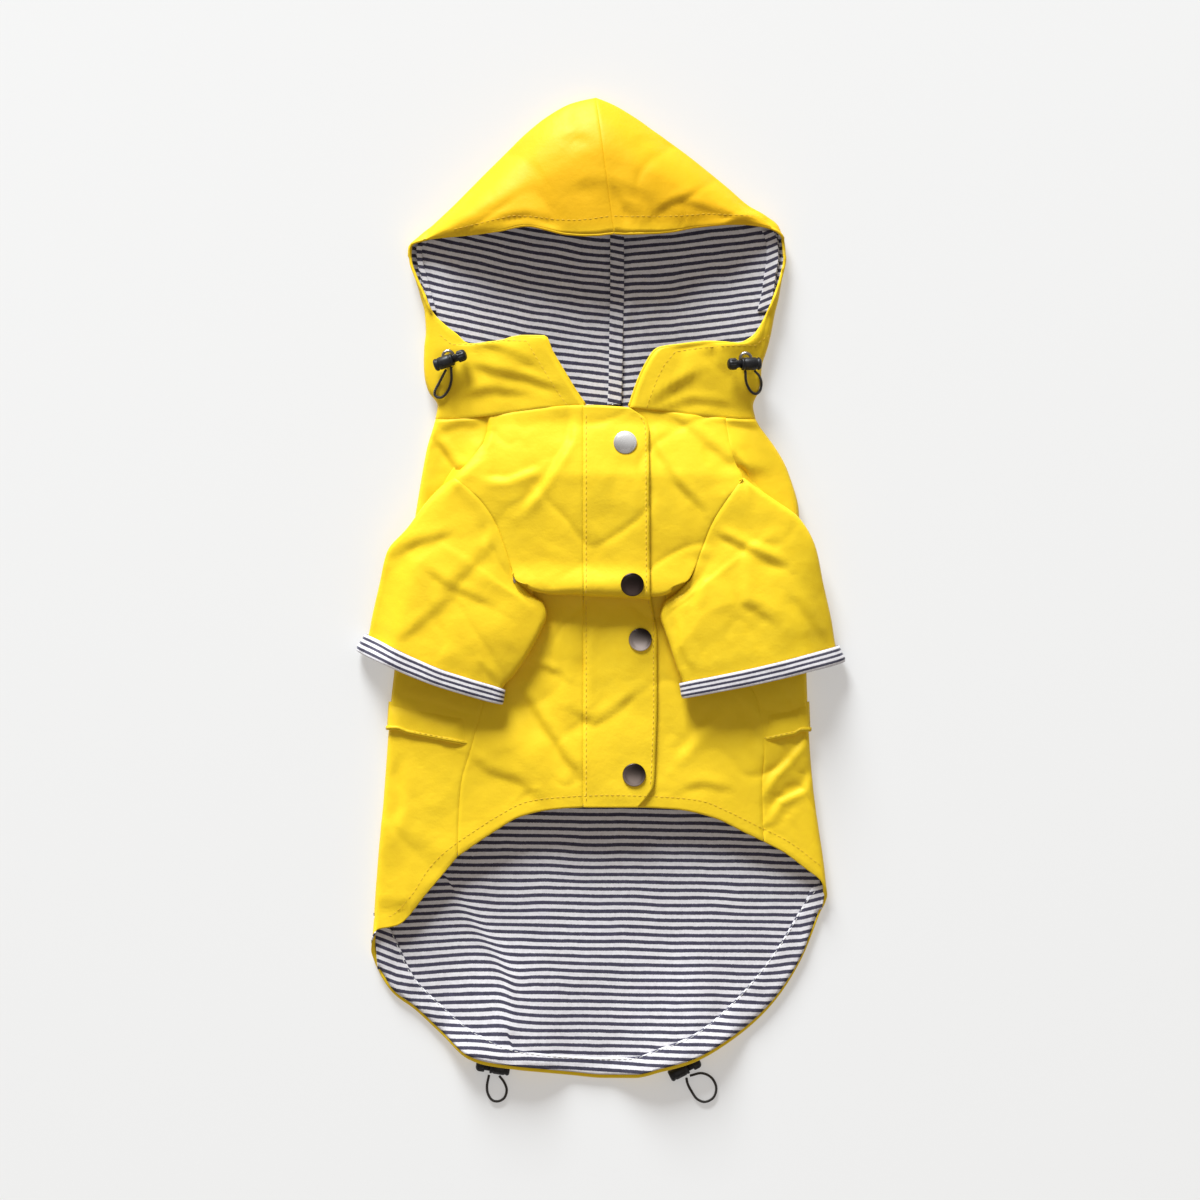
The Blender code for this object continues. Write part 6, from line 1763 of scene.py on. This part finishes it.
def lathe(name, profile, finish, segments, place, flutes=0, fluted=(), depth=0.0):
    """A solid of revolution. Rows of the profile named in fluted are cut by shallow flutes."""
    points, faces = [], []
    for row, (radius, height) in enumerate(profile):
        for step in range(segments):
            angle = 2 * math.pi * step / segments
            r = radius * (1 - depth * (0.5 + 0.5 * math.cos(flutes * angle)) ** 2 * (row in fluted))
            points.append(place @ Vector((r * math.cos(angle), r * math.sin(angle), height)))
    for row in range(len(profile) - 1):
        for step in range(segments):
            after = (step + 1) % segments
            faces.append([row * segments + step, row * segments + after,
                          (row + 1) * segments + after, (row + 1) * segments + step])
    made = join(name, [(points, faces)], finish)
    bm = bmesh.new()
    bm.from_mesh(made.data)
    bmesh.ops.remove_doubles(bm, verts=bm.verts, dist=0.005 * MM)
    bmesh.ops.recalc_face_normals(bm, faces=bm.faces)
    bm.to_mesh(made.data)
    bm.free()
    made.data.shade_smooth()
    made.data.set_sharp_from_angle(angle=math.radians(48))
    return made


def softened(profile, radius=0.25):
    """The profile with its inner corners cut twice."""
    points = [Vector(p) for p in profile]
    out = [points[0]]
    for before, corner, after in zip(points, points[1:], points[2:]):
        for other in (before, after):
            reach = min(radius, (other - corner).length * 0.45)
            out.append(corner + (other - corner).normalized() * reach)
    out.append(points[-1])
    return [tuple(p) for p in out]


SNAP_SINK = 0.15  # a cap presses this far into the cloth


def build_snap_pieces(finishes, cloth):
    """The four caps, seated on the placket's cloth and leaning with it."""
    r, h = SNAP_RADIUS, SNAP_HEIGHT
    cap = [(0.001, 0), (r - 0.6, 0), (r - 0.15, 0.2), (r, 0.55), (r - 0.05, 0.85), (r - 0.3, 1.1),
           (r - 0.75, 1.27), (r - 0.95, 1.25), (r - 1.15, 1.33), (r * 0.68, h - 0.28), (r * 0.5, h - 0.12),
           (r * 0.25, h), (0.001, h + 0.04)]
    for number, (snap, finish) in enumerate(zip(SNAPS, finishes), start=1):
        seat, lean = cloth.ray_cast(Vector((snap.x, snap.y, RAY_FROM)), DOWN)[:2]
        lean = Vector((lean.x * 0.5, lean.y * 0.5, abs(lean.z))).normalized()
        turned = lean.to_track_quat("Z", "Y").to_matrix().to_4x4()
        place = Matrix.Translation(seat - lean * SNAP_SINK) @ turned
        made = lathe(f"snap_cap_{number}", cap, finish, 64, place)
        piece(made, [f"snap_{number}"])


def build_eyelet_pieces(nickel):
    """The metal rings under the hood's cord locks, where the solids have them."""
    outer, hole = EYELET_RADIUS - 0.6, EYELET_HOLE_RADIUS
    ring = [(hole, 0), (outer - 0.1, 0), (outer, 0.2), (outer - 0.15, 0.5), (outer - 0.6, 0.8),
            (outer - 1.2, 0.9), (hole + 0.5, 0.75), (hole + 0.1, 0.5), (hole, 0)]
    for name in ("left", "right"):
        low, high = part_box(f"eyelet_{name}")
        middle = (Vector(low) + Vector(high)) / 2 / MM
        place = Matrix.Translation((middle.x, middle.y, low[2] / MM))
        piece(lathe(f"eyelet_ring_{name}", ring, nickel, 48, place), [f"eyelet_{name}"])


FLUTES, FLUTE_DEPTH = 12, 0.09  # on the plunger's head; the depth is a share of its radius


def build_lock_pieces(plastic):
    """The cord locks: a grooved barrel with a bore, and a fluted plunger on a stem."""
    half = LOCK_LENGTH / 2
    floor = half - LOCK_BORE_DEPTH
    r = LOCK_RADIUS
    barrel = [(0.001, -half), (r - 0.9, -half), (r - 0.1, -half + 0.7), (r, -half + 1.6),
              (r - 0.35, -half + 2.0), (r - 0.35, -half + 2.6), (r, -half + 3.0), (r, half - 2.2),
              (r - 0.3, half - 1.9), (r - 0.3, half - 1.4), (r, half - 1.1), (r, half - 0.4),
              (r - 0.4, half), (LOCK_BORE_RADIUS, half), (LOCK_BORE_RADIUS, floor), (0.001, floor)]
    head, tip = half + PLUNGER_GAP, half + PLUNGER_GAP + PLUNGER_HEAD_LENGTH
    stem, top = PLUNGER_STEM_RADIUS, PLUNGER_HEAD_RADIUS
    foot = half - PLUNGER_INSERTED
    plunger = [(0.001, foot), (stem, foot), (stem, head), (top - 0.4, head), (top, head + 0.5),
               (top, head + 1.2), (top, tip - 1.9), (top - 0.3, tip - 1.1), (top - 1.0, tip - 0.35),
               (top * 0.35, tip), (0.001, tip)]
    for name, (spot, axis) in LOCK_FRAMES.items():
        place = Matrix.Translation(spot) @ Vector(axis).to_track_quat("Z", "Y").to_matrix().to_4x4()
        made = lathe(f"cord_lock_{name}_barrel", softened(barrel, 0.12), plastic, 48, place)
        piece(made, [f"lock_{name}_barrel"])
        rows = softened(plunger, 0.15)
        fluted = [row for row, (radius, height) in enumerate(rows)
                  if radius > top - 0.35 and height > head + 0.6]
        made = lathe(f"cord_lock_{name}_plunger", rows, plastic, 60, place, FLUTES, fluted, FLUTE_DEPTH)
        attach(made, f"plunger_{name}")
        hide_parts(f"lock_{name}_plunger")


CORD_SHOWN = 0.72  # the cord's radius


def build_cord_pieces(cord):
    """The loop of cord that shows at each lock. A hood cord lies on the hood's solid."""
    for name, route in CORDS.items():
        trees = []
        if name.startswith("hood"):
            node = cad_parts[name]
            points = [node.matrix_world @ v.co for v in node.data.vertices]
            trees = [BVHTree.FromPolygons(points, [tuple(p.vertices) for p in node.data.polygons])]
        raised = [(x, y, top_height(trees, x, y, CORD_SHOWN) + CORD_SHOWN + above)
                  for x, y, above in route]
        path = smooth_route(raised, 0.8)
        made = tube(f"drawcord_{name}", path, CORD_SHOWN, cord, ring=12)
        piece(made, [f"cord_{name}"])


# ---------------------------------------------------------------- the coat
def inset(points, away):
    """The route moved to its left-hand side."""
    points = [Vector(p) for p in points]
    return [tuple(p + n * away) for p, n in zip(points, outline_normals(points, True))]


def hood_edge_routes(table, away):
    """Routes beside the hood's opening, where its edge lies on top: the neck's side, then the crown's."""
    routes = []
    for part in (table[:9], table[15:]):
        routes.append([])
        for row in part:
            if row.turned == 1.0:
                outwards = Vector((row.side_x - row.edge_x, row.side_y - row.edge_y)).normalized()
                routes[-1].append(tuple(Vector((row.edge_x, row.edge_y)) + outwards * away))
    return routes


HEM_THREAD = 0.22
FINE_THREAD = 0.7 * THREAD
SEWN = ("back_shell", "front_left_cloth", "placket_cloth", "front_right_cloth", "hood_left_shell",
        "hood_right_shell", "flap_left_cloth", "flap_right_cloth", "hem_casing")


def sew(trees, yellow_thread, white_thread):
    """Stitches that show: placket, belly edge, hood opening, flaps, hem casing."""
    left = [(PLACKET_LEFT + 1.5, y) for y in (97.0, -115.0)]
    rights = [(through(PLACKET, "y", "right", y) - 2.0, y) for y in np.arange(96, -112, -4.0)]
    arch = smooth_route([(p.x, p.y, 0) for p in ARCH], 4.0)
    arch = inset([(p.x, p.y) for p in arch], 6.5)[3:-3]
    hem = [(x, through(HEM, "x", "stitch", x) - 1.0) for x in np.arange(-117, 120, 4.0)]
    hoods = [hood_edge_routes(table, 9.5) for table in (HOOD_LEFT, HOOD_RIGHT)]
    flaps = [[(p.x, p.lower + 2.0) for p in table] for table in (FLAP_LEFT, FLAP_RIGHT)]
    belly = ("front_left_cloth", "placket_cloth", "front_right_cloth", "back_shell")
    jobs = (
        ("placket_stitches", ("placket_cloth",), [left, rights], yellow_thread, THREAD),
        ("belly_edge_stitches", belly, [arch], yellow_thread, FINE_THREAD),
        ("hood_left_stitches", ("hood_left_shell",), hoods[0], yellow_thread, FINE_THREAD),
        ("hood_right_stitches", ("hood_right_shell",), hoods[1], yellow_thread, FINE_THREAD),
        ("flap_stitches", ("flap_left_cloth", "flap_right_cloth"), flaps, yellow_thread, THREAD),
        ("hem_casing_stitches", ("hem_casing",), [hem], white_thread, HEM_THREAD),
    )
    for name, pieces, routes, thread, radius in jobs:
        made = stitches(name, [trees[p] for p in pieces], routes, thread, radius)
        piece(made, [])


def main():
    build_stage()
    build_cord_pieces(cord_cloth())
    yellow, striped = yellow_cloth(), striped_cloth()
    build_back_pieces(yellow, striped)
    placket = build_front_pieces(yellow, striped)
    build_sleeve_pieces("left", SLEEVE_LEFT, yellow, striped)
    build_sleeve_pieces("right", SLEEVE_RIGHT, yellow, striped)
    build_hood_pieces("left", HOOD_LEFT, yellow, striped)
    build_hood_pieces("right", HOOD_RIGHT, yellow, striped)
    for side in ("left", "right"):
        underarm(side, yellow)
        shoulder(side, yellow)
    build_seam_strip(striped)
    build_flap_piece("left", FLAP_LEFT, yellow)
    build_flap_piece("right", FLAP_RIGHT, yellow)
    # The caps' colours are painted reflections: one metal, with each cap painted light, dark or half and half
    # as its reflection falls.
    build_snap_pieces([
        cap_metal("nickel_cap", (0.97, 0.955, 0.94), (0.42, 0.40, 0.39), 0.26, SNAPS[0], metallic=0.55),
        cap_metal("black_nickel_cap", (0.030, 0.022, 0.020), (0.075, 0.052, 0.048), 0.32, SNAPS[1]),
        cap_metal("gunmetal_cap", (0.035, 0.027, 0.025), (0.62, 0.54, 0.51), 0.3, SNAPS[2]),
        cap_metal("dark_gunmetal_cap", (0.035, 0.027, 0.025), (0.36, 0.29, 0.26), 0.32, SNAPS[3]),
    ], tree_of(placket))
    build_eyelet_pieces(metal("dark_nickel_ring", (0.34, 0.32, 0.30), 0.3))
    build_lock_pieces(lock_plastic())
    yellow_thread = thread_finish("yellow_thread", (0.86, 0.55, 0.01))
    white_thread = thread_finish("white_thread", (0.85, 0.84, 0.82))
    sew({name: tree_of(bpy.data.objects[name]) for name in SEWN}, yellow_thread, white_thread)


main()
